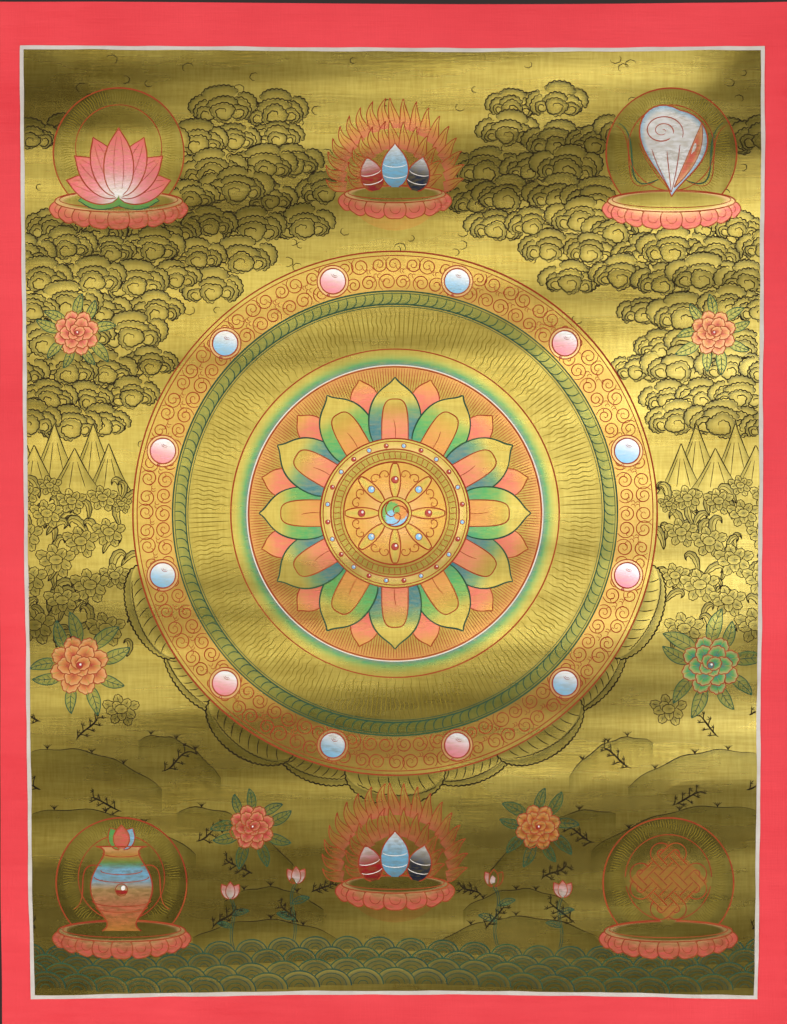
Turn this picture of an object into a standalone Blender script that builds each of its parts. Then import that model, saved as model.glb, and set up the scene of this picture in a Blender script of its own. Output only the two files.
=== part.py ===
"""Thangka painting: one length of primed cotton canvas with a painted border.

The painting hangs unmounted, held at its four corners, so the whole object is a single
sheet of cloth. It hangs in the XZ plane and its painted face looks along -Y. The origin
is on the wall plane, midway between the two top corners. Units are metres, +Z is up.
"""

import math

import bmesh
import bpy
import numpy as np

MM = 0.001

# The cut sheet
SHEET_WIDTH = 510 * MM
SHEET_HEIGHT = 666 * MM
CLOTH_THICKNESS = 1.0 * MM

# The painted border, from the cloth's edge to the middle of the pale line.
# It was ruled by hand, so its sides are wider at the bottom than at the top.
BORDER_TOP = 29.5 * MM
BORDER_BOTTOM = 23 * MM
BORDER_LEFT = {"top": 13.9 * MM, "bottom": 20 * MM}
BORDER_RIGHT = {"top": 17.4 * MM, "bottom": 21 * MM}
PALE_LINE_WIDTH = 2.8 * MM

# How the cut edges run as the sheet hangs
TOP_SAG = 2.2 * MM
TOP_SAG_SKEW = 1.45
BOTTOM_RISE = 4.5 * MM
SIDE_TAPER = 1.5 * MM

# How far the cloth stands off the wall
BELLY = 7 * MM
BELLY_SKEW = 1.25
BELLY_SIDE_DROP = 0.45
TOP_CURL = 3 * MM
BOTTOM_CURL = 3.5 * MM
CURL_REACH = 0.07
ROLL_SET = 1.1 * MM
ROLL_PITCH = 97 * MM
ROLL_SLANT = 0.16
SIDE_WAVE = 2.2 * MM
SIDE_WAVES = 3

# The flat corner pads, where the cloth is fastened to the wall
PAD_WIDTH = 12.5 * MM
PAD_HEIGHT = 15 * MM
PAD_RELEASE = 55 * MM

# Cells of the sheet's grid: border, pale line, painted field, pale line, border
COLUMN_CELLS = (2, 1, 26, 1, 2)
ROW_CELLS = (2, 1, 34, 1, 2)
BORDER_ZONES = (0, 4)
LINE_ZONES = (1, 3)

COLLECTION_NAME = "thangka_painting"
SHEET_NAME = "painted_canvas"

# Name, base colour, roughness and metallic value of each finish, in slot order.
# The back and the cut rim are the last one.
FINISHES = (
    ("red_border_paint", (0.82, 0.085, 0.10), 0.55, 0.0),
    ("pale_line_paint", (0.66, 0.61, 0.55), 0.6, 0.0),
    ("gold_ground_paint", (0.62, 0.46, 0.12), 0.38, 0.85),
    ("bare_cotton", (0.72, 0.66, 0.54), 0.9, 0.0),
)
RED, PALE, GOLD, COTTON = range(len(FINISHES))


def remove_old_objects():
    """Starts from an empty scene."""
    for old in list(bpy.data.objects):
        bpy.data.objects.remove(old)


def unit_clamp(value):
    """The value, held between 0 and 1."""
    return min(max(value, 0.0), 1.0)


def smooth_step(value):
    """0 up to 0, 1 from 1 on, and an even S-shaped rise between them."""
    clamped = unit_clamp(value)
    return clamped * clamped * (3 - 2 * clamped)


def stations(cells):
    """Grid stations over the five zones, where each zone is one unit long."""
    steps = [zone + np.arange(count) / count for zone, count in enumerate(cells)]
    return np.append(np.concatenate(steps), len(cells))


def width_at(ends, down):
    """A border's width part of the way down the sheet, from 0 at the top to 1 at the bottom."""
    return ends["top"] + (ends["bottom"] - ends["top"]) * down


def column_knots(down):
    """Where the five zones begin and end across the sheet, at one height."""
    left = -SHEET_WIDTH / 2 + SIDE_TAPER * down
    right = SHEET_WIDTH / 2 - SIDE_TAPER * down
    left_line = left + width_at(BORDER_LEFT, down)
    right_line = right - width_at(BORDER_RIGHT, down)
    half = PALE_LINE_WIDTH / 2
    return (left, left_line - half, left_line + half, right_line - half, right_line + half, right)


def row_knots(across):
    """Where the five zones begin and end down the sheet, from 0 at the left to 1 at the right."""
    top = -TOP_SAG * math.sin(math.pi * across**TOP_SAG_SKEW)
    bottom = -SHEET_HEIGHT + BOTTOM_RISE * math.sin(math.pi * across)
    top_line = top - BORDER_TOP
    bottom_line = bottom + BORDER_BOTTOM
    half = PALE_LINE_WIDTH / 2
    return (top, top_line + half, top_line - half, bottom_line + half, bottom_line - half, bottom)


def place_in_plane(column, row):
    """X and Z of a grid corner. Each depends a little on the other, so two passes settle them."""
    zones = range(len(COLUMN_CELLS) + 1)
    down = row / len(ROW_CELLS)
    for _ in range(2):
        x = float(np.interp(column, zones, column_knots(down)))
        z = float(np.interp(row, zones, row_knots(unit_clamp(x / SHEET_WIDTH + 0.5))))
        down = unit_clamp(-z / SHEET_HEIGHT)
    return x, z


def pad_release(x, z):
    """0 on the flat pads at the corners, rising to 1 where the cloth hangs free."""
    from_side = SHEET_WIDTH / 2 - abs(x) - PAD_WIDTH
    from_end = min(-z, SHEET_HEIGHT + z) - PAD_HEIGHT
    return smooth_step(max(from_side, from_end) / PAD_RELEASE)


def lift(x, z):
    """How far the cloth's back stands off the wall, as the sum of five forms.

    They are a belly that is deepest above the middle, a curl at the top and at the bottom
    edge, the slanting ripples that rolling left, and waves along the two free sides.
    """
    across = 2 * x / SHEET_WIDTH
    down = unit_clamp(-z / SHEET_HEIGHT)
    inward = max(1 - across**2, 0.0)
    belly = BELLY * math.sin(math.pi * down**BELLY_SKEW) * (1 - BELLY_SIDE_DROP * across**2)
    top_curl = TOP_CURL * inward * math.exp(-((down / CURL_REACH) ** 2))
    bottom_curl = BOTTOM_CURL * inward * math.exp(-(((1 - down) / CURL_REACH) ** 2))
    roll_phase = 2 * math.pi * (-z + ROLL_SLANT * x) / ROLL_PITCH
    roll_set = ROLL_SET * (1 - math.cos(roll_phase)) / 2
    side_wave = SIDE_WAVE * across**4 * (1 - math.cos(2 * math.pi * SIDE_WAVES * down)) / 2
    return pad_release(x, z) * (belly + top_curl + bottom_curl + roll_set + side_wave)


def make_material(name, colour, roughness, metallic):
    """A plain finish with the paint's colour, roughness and metallic value."""
    material = bpy.data.materials.new(name)
    material.use_nodes = True
    shader = material.node_tree.nodes["Principled BSDF"]
    shader.inputs["Base Color"].default_value = (*colour, 1)
    shader.inputs["Roughness"].default_value = roughness
    shader.inputs["Metallic"].default_value = metallic
    material.diffuse_color = (*colour, 1)
    return material


def finish_of(column_zone, row_zone):
    """The paint on a cell: gold inside the pale line, red outside it."""
    if column_zone in BORDER_ZONES or row_zone in BORDER_ZONES:
        return RED
    if column_zone in LINE_ZONES or row_zone in LINE_ZONES:
        return PALE
    return GOLD


def front_surface():
    """The painted face as an open grid, with a finish on every cell."""
    columns, rows = stations(COLUMN_CELLS), stations(ROW_CELLS)
    across_cells, down_cells = len(columns) - 1, len(rows) - 1
    surface = bmesh.new()
    bmesh.ops.create_grid(surface, x_segments=across_cells, y_segments=down_cells, size=1)
    for face in surface.faces:
        middle = face.calc_center_median()
        column = int((middle.x + 1) / 2 * across_cells)
        row = int((1 - middle.y) / 2 * down_cells)
        face.material_index = finish_of(int(columns[column]), int(rows[row]))
        face.smooth = True
    for corner in surface.verts:
        column = round((corner.co.x + 1) / 2 * across_cells)
        row = round((1 - corner.co.y) / 2 * down_cells)
        x, z = place_in_plane(columns[column], rows[row])
        corner.co = (x, -CLOTH_THICKNESS - lift(x, z), z)
    mesh = bpy.data.meshes.new(SHEET_NAME)
    surface.to_mesh(mesh)
    surface.free()
    return mesh


def make_canvas(collection):
    """The one piece of cloth: the painted face, thickened backwards to the bare back."""
    mesh = front_surface()
    for finish in FINISHES:
        mesh.materials.append(make_material(*finish))
    canvas = bpy.data.objects.new(SHEET_NAME, mesh)
    collection.objects.link(canvas)
    thickness = canvas.modifiers.new("cloth_thickness", "SOLIDIFY")
    thickness.thickness = CLOTH_THICKNESS
    thickness.offset = -1
    thickness.use_rim = True
    thickness.material_offset = COTTON
    thickness.material_offset_rim = COTTON


def main():
    remove_old_objects()
    collection = bpy.data.collections.new(COLLECTION_NAME)
    bpy.context.scene.collection.children.link(collection)
    make_canvas(collection)


main()
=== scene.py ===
# %% [markdown]
# # A thangka painting on canvas
# The object is one length of primed cotton, painted by hand: a red border, a pale ruled line
# and a field of metallic gold that carries the picture. It hangs unmounted, held at its corners.
# The solid model gives the sheet's size and the way it hangs. This file gives it cloth, paint
# and brush lines. The picture here is a generic one: a lotus wheel between clouds, flowers and
# waves, drawn from formulas.

# %% Load the solid model
from math import comb

import bmesh
import bpy
import numpy as np
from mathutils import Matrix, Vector


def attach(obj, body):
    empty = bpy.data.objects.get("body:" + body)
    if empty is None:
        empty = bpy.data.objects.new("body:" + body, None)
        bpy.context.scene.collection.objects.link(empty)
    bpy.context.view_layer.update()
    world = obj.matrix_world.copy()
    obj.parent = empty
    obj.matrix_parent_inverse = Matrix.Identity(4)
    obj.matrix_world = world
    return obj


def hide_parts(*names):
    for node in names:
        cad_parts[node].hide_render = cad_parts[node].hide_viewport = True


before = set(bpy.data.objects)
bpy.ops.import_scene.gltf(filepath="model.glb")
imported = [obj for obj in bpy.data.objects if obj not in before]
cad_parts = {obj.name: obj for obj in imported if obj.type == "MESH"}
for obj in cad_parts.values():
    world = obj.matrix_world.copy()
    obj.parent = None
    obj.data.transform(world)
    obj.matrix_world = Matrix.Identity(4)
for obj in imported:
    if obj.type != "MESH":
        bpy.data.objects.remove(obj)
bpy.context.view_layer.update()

# %% [markdown]
# ## The hung surface
# The cloth could be simulated, but it hangs from four corners and hardly moves, so its shape is
# a sum of simple forms, the same ones as in the solid. Every layer of paint asks this one
# function where the cloth is, so paint and cloth can never drift apart.

# %% Sizes of the sheet
MM = 0.001
SHEET_WIDTH = 510 * MM
SHEET_HEIGHT = 666 * MM
BORDER_TOP = 29.5 * MM
BORDER_BOTTOM = 23 * MM
BORDER_LEFT = (13.9 * MM, 20 * MM)
BORDER_RIGHT = (17.4 * MM, 21 * MM)
PALE_LINE_WIDTH = 2.8 * MM
TOP_SAG, TOP_SAG_SKEW = 2.2 * MM, 1.45
BOTTOM_RISE = 4.5 * MM
SIDE_TAPER = 1.5 * MM
# Across and down alike: border, pale line, field, pale line, border
ZONES = 5


def edges_across(down):
    """Six lines down the sheet: its left edge, the two sides of the pale line at the left, the
    same at the right, and its right edge. The border widens evenly from top to bottom."""
    left = -SHEET_WIDTH / 2 + SIDE_TAPER * down
    right = -left
    left_line = left + BORDER_LEFT[0] + (BORDER_LEFT[1] - BORDER_LEFT[0]) * down
    right_line = right - BORDER_RIGHT[0] - (BORDER_RIGHT[1] - BORDER_RIGHT[0]) * down
    half = PALE_LINE_WIDTH / 2
    return np.stack([left, left_line - half, left_line + half,
                     right_line - half, right_line + half, right])


def edges_down(across):
    """Six lines across the sheet, from its sagging top edge to its raised bottom edge."""
    top = -TOP_SAG * np.sin(np.pi * across**TOP_SAG_SKEW)
    bottom = -SHEET_HEIGHT + BOTTOM_RISE * np.sin(np.pi * across)
    top_line, bottom_line = top - BORDER_TOP, bottom + BORDER_BOTTOM
    half = PALE_LINE_WIDTH / 2
    return np.stack([top, top_line + half, top_line - half,
                     bottom_line + half, bottom_line - half, bottom])


def between(edges, station):
    """The place of a station from 0 to 5: the whole part picks the edge before it, the rest is
    the share of the way to the next."""
    zone = np.clip(station.astype(int), 0, ZONES - 1)
    before = np.take_along_axis(edges, zone[None], 0)[0]
    after = np.take_along_axis(edges, zone[None] + 1, 0)[0]
    return before + (station - zone) * (after - before)


def place_on_sheet(columns, rows):
    """X and Z of a grid of stations, in two passes because each depends a little on the other."""
    column, row = np.meshgrid(columns, rows)
    down = row / ZONES
    for _ in range(2):
        x = between(edges_across(down), column)
        z = between(edges_down(np.clip(x / SHEET_WIDTH + 0.5, 0, 1)), row)
        down = np.clip(-z / SHEET_HEIGHT, 0, 1)
    return x, z


# %% How far the cloth stands off the wall
BELLY, BELLY_SKEW, BELLY_SIDE_DROP = 7 * MM, 1.25, 0.45
TOP_CURL, BOTTOM_CURL, CURL_REACH = 3 * MM, 3.5 * MM, 0.07
ROLL_SET, ROLL_PITCH, ROLL_SLANT = 1.1 * MM, 97 * MM, 0.16
SIDE_WAVE, SIDE_WAVES = 2.2 * MM, 3
PAD_WIDTH, PAD_HEIGHT, PAD_RELEASE = 12.5 * MM, 15 * MM, 55 * MM
CLOTH_THICKNESS = 0.8 * MM
# Fine wrinkles from rolling: height, pitch, slant and place down the sheet of each set
WRINKLES = (
    (0.10 * MM, 31 * MM, 0.05, 0.3),
    (0.05 * MM, 17 * MM, -0.04, 1.9),
)
WRINKLE_BEND = 0.4


def smooth_step(value):
    """0 up to 0, 1 from 1 on, and an even S-shaped rise between them."""
    clamped = np.clip(value, 0, 1)
    return clamped * clamped * (3 - 2 * clamped)


def lift(x, z):
    """How far the back stands off the wall: belly, curled ends, ripples left by rolling, waved
    sides and fine wrinkles, all fading to nothing on the four corner pads."""
    across = 2 * x / SHEET_WIDTH
    down = np.clip(-z / SHEET_HEIGHT, 0, 1)
    inward = np.maximum(1 - across**2, 0)
    total = BELLY * np.sin(np.pi * down**BELLY_SKEW) * (1 - BELLY_SIDE_DROP * across**2)
    total = total + TOP_CURL * inward * np.exp(-((down / CURL_REACH) ** 2))
    total = total + BOTTOM_CURL * inward * np.exp(-(((1 - down) / CURL_REACH) ** 2))
    total = total + ROLL_SET * (1 - np.cos(2 * np.pi * (-z + ROLL_SLANT * x) / ROLL_PITCH)) / 2
    total = total + SIDE_WAVE * across**4 * (1 - np.cos(2 * np.pi * SIDE_WAVES * down)) / 2
    for height, pitch, slant, phase in WRINKLES:
        bend = WRINKLE_BEND * np.sin(9 * x / SHEET_WIDTH + phase)
        total = total + height * (1 - np.cos(2 * np.pi * (-z + slant * x) / pitch + phase + bend)) / 2
    from_side = SHEET_WIDTH / 2 - np.abs(x) - PAD_WIDTH
    from_end = np.minimum(-z, SHEET_HEIGHT + z) - PAD_HEIGHT
    return smooth_step(np.maximum(from_side, from_end) / PAD_RELEASE) * total


def on_cloth(x, z, height):
    """Points that lie a height above the painted face of the cloth."""
    return np.stack([x, -(CLOTH_THICKNESS + lift(x, z) + height), z], -1)


trial = place_on_sheet(np.linspace(0, ZONES, 60), np.linspace(0, ZONES, 80))
print("deepest lift, mm:", float(lift(*trial).max() / MM))

# %% [markdown]
# ## Meshes from arrays
# Each piece is worked out as whole arrays of points and handed to Blender in one go. A layer of
# paint is an open skin that Solidify thickens down into the layer below it, so no edge gapes.

# %% Helpers that make a piece
FLAT_MAP = "OFBake"


def make_mesh(name, points, *face_sets):
    """A mesh from an (n, 3) array of points and arrays of faces with equal corner counts."""
    mesh = bpy.data.meshes.new(name)
    corners = np.concatenate([faces.ravel() for faces in face_sets]).astype(np.int32)
    sizes = np.concatenate([np.full(len(faces), faces.shape[1]) for faces in face_sets])
    mesh.vertices.add(len(points))
    mesh.vertices.foreach_set("co", np.asarray(points, np.float32).ravel())
    mesh.loops.add(len(corners))
    mesh.loops.foreach_set("vertex_index", corners)
    mesh.polygons.add(len(sizes))
    mesh.polygons.foreach_set("loop_start", (np.cumsum(sizes) - sizes).astype(np.int32))
    mesh.update(calc_edges=True)
    return mesh


def add_flat_map(mesh):
    """A picture map that looks at the sheet from the front and fills the unit square."""
    points = np.empty(len(mesh.vertices) * 3, np.float32)
    mesh.vertices.foreach_get("co", points)
    flat = points.reshape(-1, 3)[:, [0, 2]]
    flat = (flat - flat.min(0)) / np.maximum(np.ptp(flat, axis=0), 1e-6)
    corners = np.empty(len(mesh.loops), np.int32)
    mesh.loops.foreach_get("vertex_index", corners)
    layer = mesh.uv_layers.new(name=FLAT_MAP)
    layer.uv.foreach_set("vector", flat[corners].ravel())


def grid_faces(rows, columns, first=0):
    """Quads between neighbouring points of a grid that is stored row by row."""
    corner = first + np.arange((rows - 1) * columns).reshape(rows - 1, columns)[:, :-1].ravel()
    return np.stack([corner, corner + 1, corner + columns + 1, corner + columns], 1)


def facing_front(points, faces):
    """The faces, turned round where their corners run clockwise as seen from the front."""
    x, z = points[faces][..., 0], points[faces][..., 2]
    area = (x * np.roll(z, -1, 1) - np.roll(x, -1, 1) * z).sum(1)
    return np.where(area[:, None] < 0, faces[:, ::-1], faces)


def sharpen_rim(mesh):
    """Marks the edges that have one face only, so that the thickened rim keeps a crisp corner."""
    edges = np.empty(len(mesh.loops), np.int32)
    mesh.loops.foreach_get("edge_index", edges)
    rim = np.bincount(edges, minlength=len(mesh.edges)) == 1
    mesh.attributes.new("sharp_edge", "BOOLEAN", "EDGE").data.foreach_set("value", rim)


def finish_piece(name, mesh, material, thickness=0.0, smooth=True):
    """Links the piece, gives it its finish and its thickness, and lets it ride on the sheet."""
    piece = bpy.data.objects.new(name, mesh)
    bpy.context.scene.collection.objects.link(piece)
    mesh.materials.append(material)
    mesh.polygons.foreach_set("use_smooth", np.full(len(mesh.polygons), smooth))
    if thickness:
        sharpen_rim(mesh)
        solid = piece.modifiers.new("thickness", "SOLIDIFY")
        solid.thickness = thickness
        solid.offset = -1
        solid.use_rim = True
    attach(piece, "root")
    print(f"{name}: {len(mesh.vertices)} points, {len(mesh.polygons)} faces")
    return piece


# %% [markdown]
# ## Finishes
# Gold paint on cloth is a metal seen through brush marks: its glow comes from broad, soft
# reflections, broken by streaks that follow the weave both ways. So the finish is a metallic
# shader with fine bump and a roughness that drifts. Colours are washes over that gold, which
# turn the metal down as they get thicker. Every number that is even all over is set on the
# shader itself.

# %% Colours, named as a painter mixes them


def mixed(red, green, blue):
    """A colour given as it looks on a screen, from 0 to 255, in the linear values of light."""
    seen = np.array([red, green, blue]) / 255
    return np.where(seen <= 0.04045, seen / 12.92, ((seen + 0.055) / 1.055) ** 2.4)


GOLD = mixed(208, 186, 90)
GOLD_DEEP = mixed(164, 138, 48)
OLIVE = mixed(104, 96, 26)
ORANGE = mixed(222, 140, 62)
SALMON = mixed(232, 118, 92)
ROSE = mixed(226, 92, 84)
PEACH = mixed(238, 186, 128)
GREEN = mixed(72, 168, 84)
TEAL = mixed(52, 122, 124)
SKY = mixed(132, 196, 226)
PINK = mixed(240, 132, 142)
WHITE = mixed(244, 240, 232)
CRIMSON = mixed(176, 30, 34)
NAVY = mixed(30, 40, 62)

# %% Shader helpers


def new_finish(name):
    """An empty finish with its shader, its tree and the piece's own coordinates."""
    material = bpy.data.materials.new(name)
    material.use_nodes = True
    tree = material.node_tree
    shader = tree.nodes["Principled BSDF"]
    where = tree.nodes.new("ShaderNodeTexCoord").outputs["Object"]
    return material, tree, shader, where


def noise(tree, where, scale, detail=3.0, stretch=(1, 1, 1), roughness=0.55):
    """Cloudy noise with a size of about 1 / scale metres, stretched along an axis by a factor."""
    mapping = tree.nodes.new("ShaderNodeMapping")
    mapping.inputs["Scale"].default_value = [1 / factor for factor in stretch]
    texture = tree.nodes.new("ShaderNodeTexNoise")
    texture.inputs["Scale"].default_value = scale
    texture.inputs["Detail"].default_value = detail
    texture.inputs["Roughness"].default_value = roughness
    tree.links.new(where, mapping.inputs["Vector"])
    tree.links.new(mapping.outputs["Vector"], texture.inputs["Vector"])
    return texture.outputs["Fac"]


def ramp(tree, value, low, high, to_low=0.0, to_high=1.0):
    """Maps a value from one range to another, and holds it there."""
    node = tree.nodes.new("ShaderNodeMapRange")
    for name, number in (("From Min", low), ("From Max", high), ("To Min", to_low), ("To Max", to_high)):
        node.inputs[name].default_value = number
    tree.links.new(value, node.inputs["Value"])
    return node.outputs["Result"]


def math(tree, operation, first, second):
    """One sum of two values, each a socket or a plain number."""
    node = tree.nodes.new("ShaderNodeMath")
    node.operation = operation
    for socket, value in zip(node.inputs, (first, second)):
        if isinstance(value, (int, float)):
            socket.default_value = value
        else:
            tree.links.new(value, socket)
    return node.outputs["Value"]


def blend_colours(tree, share, first, second):
    """A mix of two colours, each a socket or a plain colour."""
    node = tree.nodes.new("ShaderNodeMix")
    node.data_type = "RGBA"
    tree.links.new(share, node.inputs["Factor"])
    for socket, value in ((node.inputs[6], first), (node.inputs[7], second)):
        if isinstance(value, np.ndarray):
            socket.default_value = (*value, 1)
        else:
            tree.links.new(value, socket)
    return node.outputs[2]


def add_bump(tree, shader, height, distance, strength=1.0):
    """Lets a height pattern tilt the surface."""
    bump = tree.nodes.new("ShaderNodeBump")
    bump.inputs["Distance"].default_value = distance
    bump.inputs["Strength"].default_value = strength
    tree.links.new(height, bump.inputs["Height"])
    tree.links.new(bump.outputs["Normal"], shader.inputs["Normal"])


def weave_height(tree, where):
    """Cloth under paint: noise stretched along the threads both ways, plus a broad unevenness."""
    warp = noise(tree, where, 900, 2, (1, 1, 14))
    weft = noise(tree, where, 900, 2, (14, 1, 1))
    coarse = noise(tree, where, 90, 3, (3, 1, 1))
    threads = math(tree, "ADD", warp, weft)
    return math(tree, "ADD", threads, math(tree, "MULTIPLY", coarse, 0.3))


def gold_tone(tree, where):
    """Gold that drifts between a light and a deep tone in patches and in brush streaks."""
    patches = ramp(tree, noise(tree, where, 9, 4), 0.3, 0.7)
    streaks = ramp(tree, noise(tree, where, 560, 3, (12, 1, 1)), 0.3, 0.72)
    upright = ramp(tree, noise(tree, where, 560, 3, (1, 1, 9)), 0.3, 0.72)
    both = math(tree, "MULTIPLY", math(tree, "ADD", streaks, upright), 0.5)
    share = math(tree, "ADD", math(tree, "MULTIPLY", patches, 0.35), math(tree, "MULTIPLY", both, 0.65))
    return blend_colours(tree, share, GOLD_DEEP, GOLD)


# %% Gold ground
GOLD_METAL, GOLD_ROUGHNESS = 0.95, (0.25, 0.31)
VARNISH, VARNISH_ROUGHNESS, VARNISH_IOR = 0.2, 0.24, 1.6
WEAVE_DEPTH = 0.08 * MM


def gold_finish(name, washed):
    """Metallic gold with weave streaks, and on washed pieces a colour that turns down the metal."""
    material, tree, shader, where = new_finish(name)
    tone = gold_tone(tree, where)
    shader.inputs["Metallic"].default_value = GOLD_METAL
    if washed:
        wash = tree.nodes.new("ShaderNodeAttribute")
        wash.attribute_name = "wash"
        stain = ramp(tree, noise(tree, where, 600, 3, (3, 1, 1)), 0.36, 0.62, 0.78, 1.04)
        cover = math(tree, "MULTIPLY", wash.outputs["Alpha"], stain)
        tone = blend_colours(tree, cover, tone, wash.outputs["Color"])
        tree.links.new(ramp(tree, cover, 0.45, 1, GOLD_METAL, 0.3), shader.inputs["Metallic"])
    tree.links.new(tone, shader.inputs["Base Color"])
    drift = noise(tree, where, 60, 4, (5, 1, 1))
    tree.links.new(ramp(tree, drift, 0.3, 0.7, *GOLD_ROUGHNESS), shader.inputs["Roughness"])
    shader.inputs["Coat Weight"].default_value = VARNISH
    shader.inputs["Coat Roughness"].default_value = VARNISH_ROUGHNESS
    shader.inputs["Coat IOR"].default_value = VARNISH_IOR
    add_bump(tree, shader, weave_height(tree, where), WEAVE_DEPTH, 0.22 if washed else 0.36)
    return material


gold_paint = gold_finish("gold_paint", washed=False)
wash_paint = gold_finish("wash_over_gold", washed=True)

# %% Red border paint, pale line paint and bare cotton


def flat_paint(name, light, deep, roughness, bump_distance, patch_scale):
    """Satin paint on cloth: two close tones in patches and brush streaks, with the weave in it."""
    material, tree, shader, where = new_finish(name)
    patches = ramp(tree, noise(tree, where, patch_scale, 5), 0.32, 0.68)
    streaks = noise(tree, where, 220, 3, (10, 1, 1))
    share = math(tree, "ADD", math(tree, "MULTIPLY", patches, 0.6), math(tree, "MULTIPLY", streaks, 0.4))
    tree.links.new(blend_colours(tree, share, deep, light), shader.inputs["Base Color"])
    tree.links.new(ramp(tree, streaks, 0.3, 0.7, roughness - 0.06, roughness + 0.08),
                   shader.inputs["Roughness"])
    add_bump(tree, shader, weave_height(tree, where), bump_distance)
    return material


red_paint = flat_paint("red_border_paint", mixed(250, 72, 78), mixed(228, 50, 58),
                       roughness=0.5, bump_distance=0.12 * MM, patch_scale=9)
pale_paint = flat_paint("pale_line_paint", mixed(222, 214, 202), mixed(196, 184, 172),
                        roughness=0.62, bump_distance=WEAVE_DEPTH, patch_scale=60)


THREAD_PAIR = 0.9 * MM


def cotton_finish():
    """Plain weave: two sets of threads that cross, a little yellowed in patches."""
    material, tree, shader, where = new_finish("bare_cotton")
    split = tree.nodes.new("ShaderNodeSeparateXYZ")
    tree.links.new(where, split.inputs["Vector"])
    thread = 2 * np.pi / THREAD_PAIR
    over = math(tree, "SINE", math(tree, "MULTIPLY", split.outputs["X"], thread), 0.0)
    under = math(tree, "SINE", math(tree, "MULTIPLY", split.outputs["Z"], thread), 0.0)
    weave = math(tree, "MULTIPLY", over, under)
    slub = noise(tree, where, 300, 3, (1, 1, 8))
    height = math(tree, "ADD", math(tree, "MULTIPLY", weave, 0.5), slub)
    age = ramp(tree, noise(tree, where, 11, 5), 0.3, 0.75)
    tone = math(tree, "ADD", math(tree, "MULTIPLY", age, 0.7), math(tree, "MULTIPLY", slub, 0.3))
    tree.links.new(blend_colours(tree, tone, mixed(196, 182, 152), mixed(226, 216, 192)),
                   shader.inputs["Base Color"])
    shader.inputs["Roughness"].default_value = 0.92
    add_bump(tree, shader, height, 0.16 * MM)
    return material


cotton = cotton_finish()


INK_ROUGHNESS, INK_SHINE = 0.8, 0.12


def ink_finish(name, thick, thin):
    """Brush ink: it runs from thick to thin along each line, by the line's own load of ink."""
    material, tree, shader, where = new_finish(name)
    load = tree.nodes.new("ShaderNodeAttribute")
    load.attribute_name = "load"
    grain = noise(tree, where, 700, 2)
    share = math(tree, "ADD", math(tree, "MULTIPLY", load.outputs["Fac"], 0.75),
                 math(tree, "MULTIPLY", grain, 0.25))
    tree.links.new(blend_colours(tree, share, thin, thick), shader.inputs["Base Color"])
    shader.inputs["Roughness"].default_value = INK_ROUGHNESS
    shader.inputs["Specular IOR Level"].default_value = INK_SHINE
    return material


dark_ink = ink_finish("dark_ink", mixed(22, 17, 10), mixed(58, 46, 20))
red_ink = ink_finish("red_ink", mixed(150, 42, 30), mixed(184, 92, 44))
teal_ink = ink_finish("teal_ink", mixed(16, 62, 62), mixed(70, 104, 60))
ray_ink = ink_finish("ray_gold", mixed(120, 104, 28), mixed(160, 138, 50))
white_ink = ink_finish("white_lead", mixed(250, 246, 238), mixed(238, 222, 204))
print("finishes:", len(bpy.data.materials))

# %% [markdown]
# ## Cloth and grounds
# The cloth is one closed sheet. The red border, the gold ground and the pale line lie on it as
# separate layers of paint that meet under the pale line, as they do on the real canvas.

# %% The cotton sheet
COTTON_CELL = 6.6 * MM


def stations(border_steps, field_steps):
    """Stations across or down: the border, the pale line in two halves, the field, and back."""
    edge = np.linspace(0, 1, border_steps + 1)
    return np.concatenate([edge, [1.5], np.linspace(2, 3, field_steps + 1), [3.5], 4 + edge])


def sheet_grid(columns, rows, height):
    """Points and faces of a grid over the whole sheet, at a height above the cloth's face."""
    x, z = place_on_sheet(columns, rows)
    points = on_cloth(x, z, height).reshape(-1, 3)
    return points, facing_front(points, grid_faces(*x.shape))


cloth_columns = stations(4, round(SHEET_WIDTH / COTTON_CELL))
cloth_rows = stations(6, round(SHEET_HEIGHT / COTTON_CELL))
cloth_mesh = make_mesh("cotton_sheet", *sheet_grid(cloth_columns, cloth_rows, 0.0))
cloth = finish_piece("cotton_sheet", cloth_mesh, cotton, CLOTH_THICKNESS)
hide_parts("painted_canvas")

# %% Gold ground and red border
GROUND_HEIGHT = 0.10 * MM
LAYER = 0.12 * MM
FIELD_ACROSS, FIELD_DOWN = 92, 186
ground_columns, ground_rows = stations(4, FIELD_ACROSS), stations(7, FIELD_DOWN)
ground_points, ground_faces = sheet_grid(ground_columns, ground_rows, GROUND_HEIGHT)
middle_column = np.tile((ground_columns[1:] + ground_columns[:-1]) / 2, len(ground_rows) - 1)
middle_row = np.repeat((ground_rows[1:] + ground_rows[:-1]) / 2, len(ground_columns) - 1)
in_field = (np.abs(middle_column - 2.5) < 1) & (np.abs(middle_row - 2.5) < 1)


def used_part(points, faces):
    """The points that these faces use, and the faces renumbered to them."""
    kept, numbers = np.unique(faces, return_inverse=True)
    return points[kept], numbers.reshape(faces.shape)


def lay_ground(name, chosen, material):
    """One paint layer made of the chosen cells of the sheet's grid."""
    mesh = make_mesh(name, *used_part(ground_points, ground_faces[chosen]))
    add_flat_map(mesh)
    return finish_piece(name, mesh, material, LAYER)


lay_ground("gold_ground", in_field, gold_paint)
lay_ground("red_border", ~in_field, red_paint)

# %% [markdown]
# ## A brush
# A brush line is a low ridge of paint: three points side by side at each step of its path, left
# edge, crown and right edge. Ridges stay crisp at any distance, which a texture this large would
# not. Lines are kept in lists by piece and made into one mesh each at the end.

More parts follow.
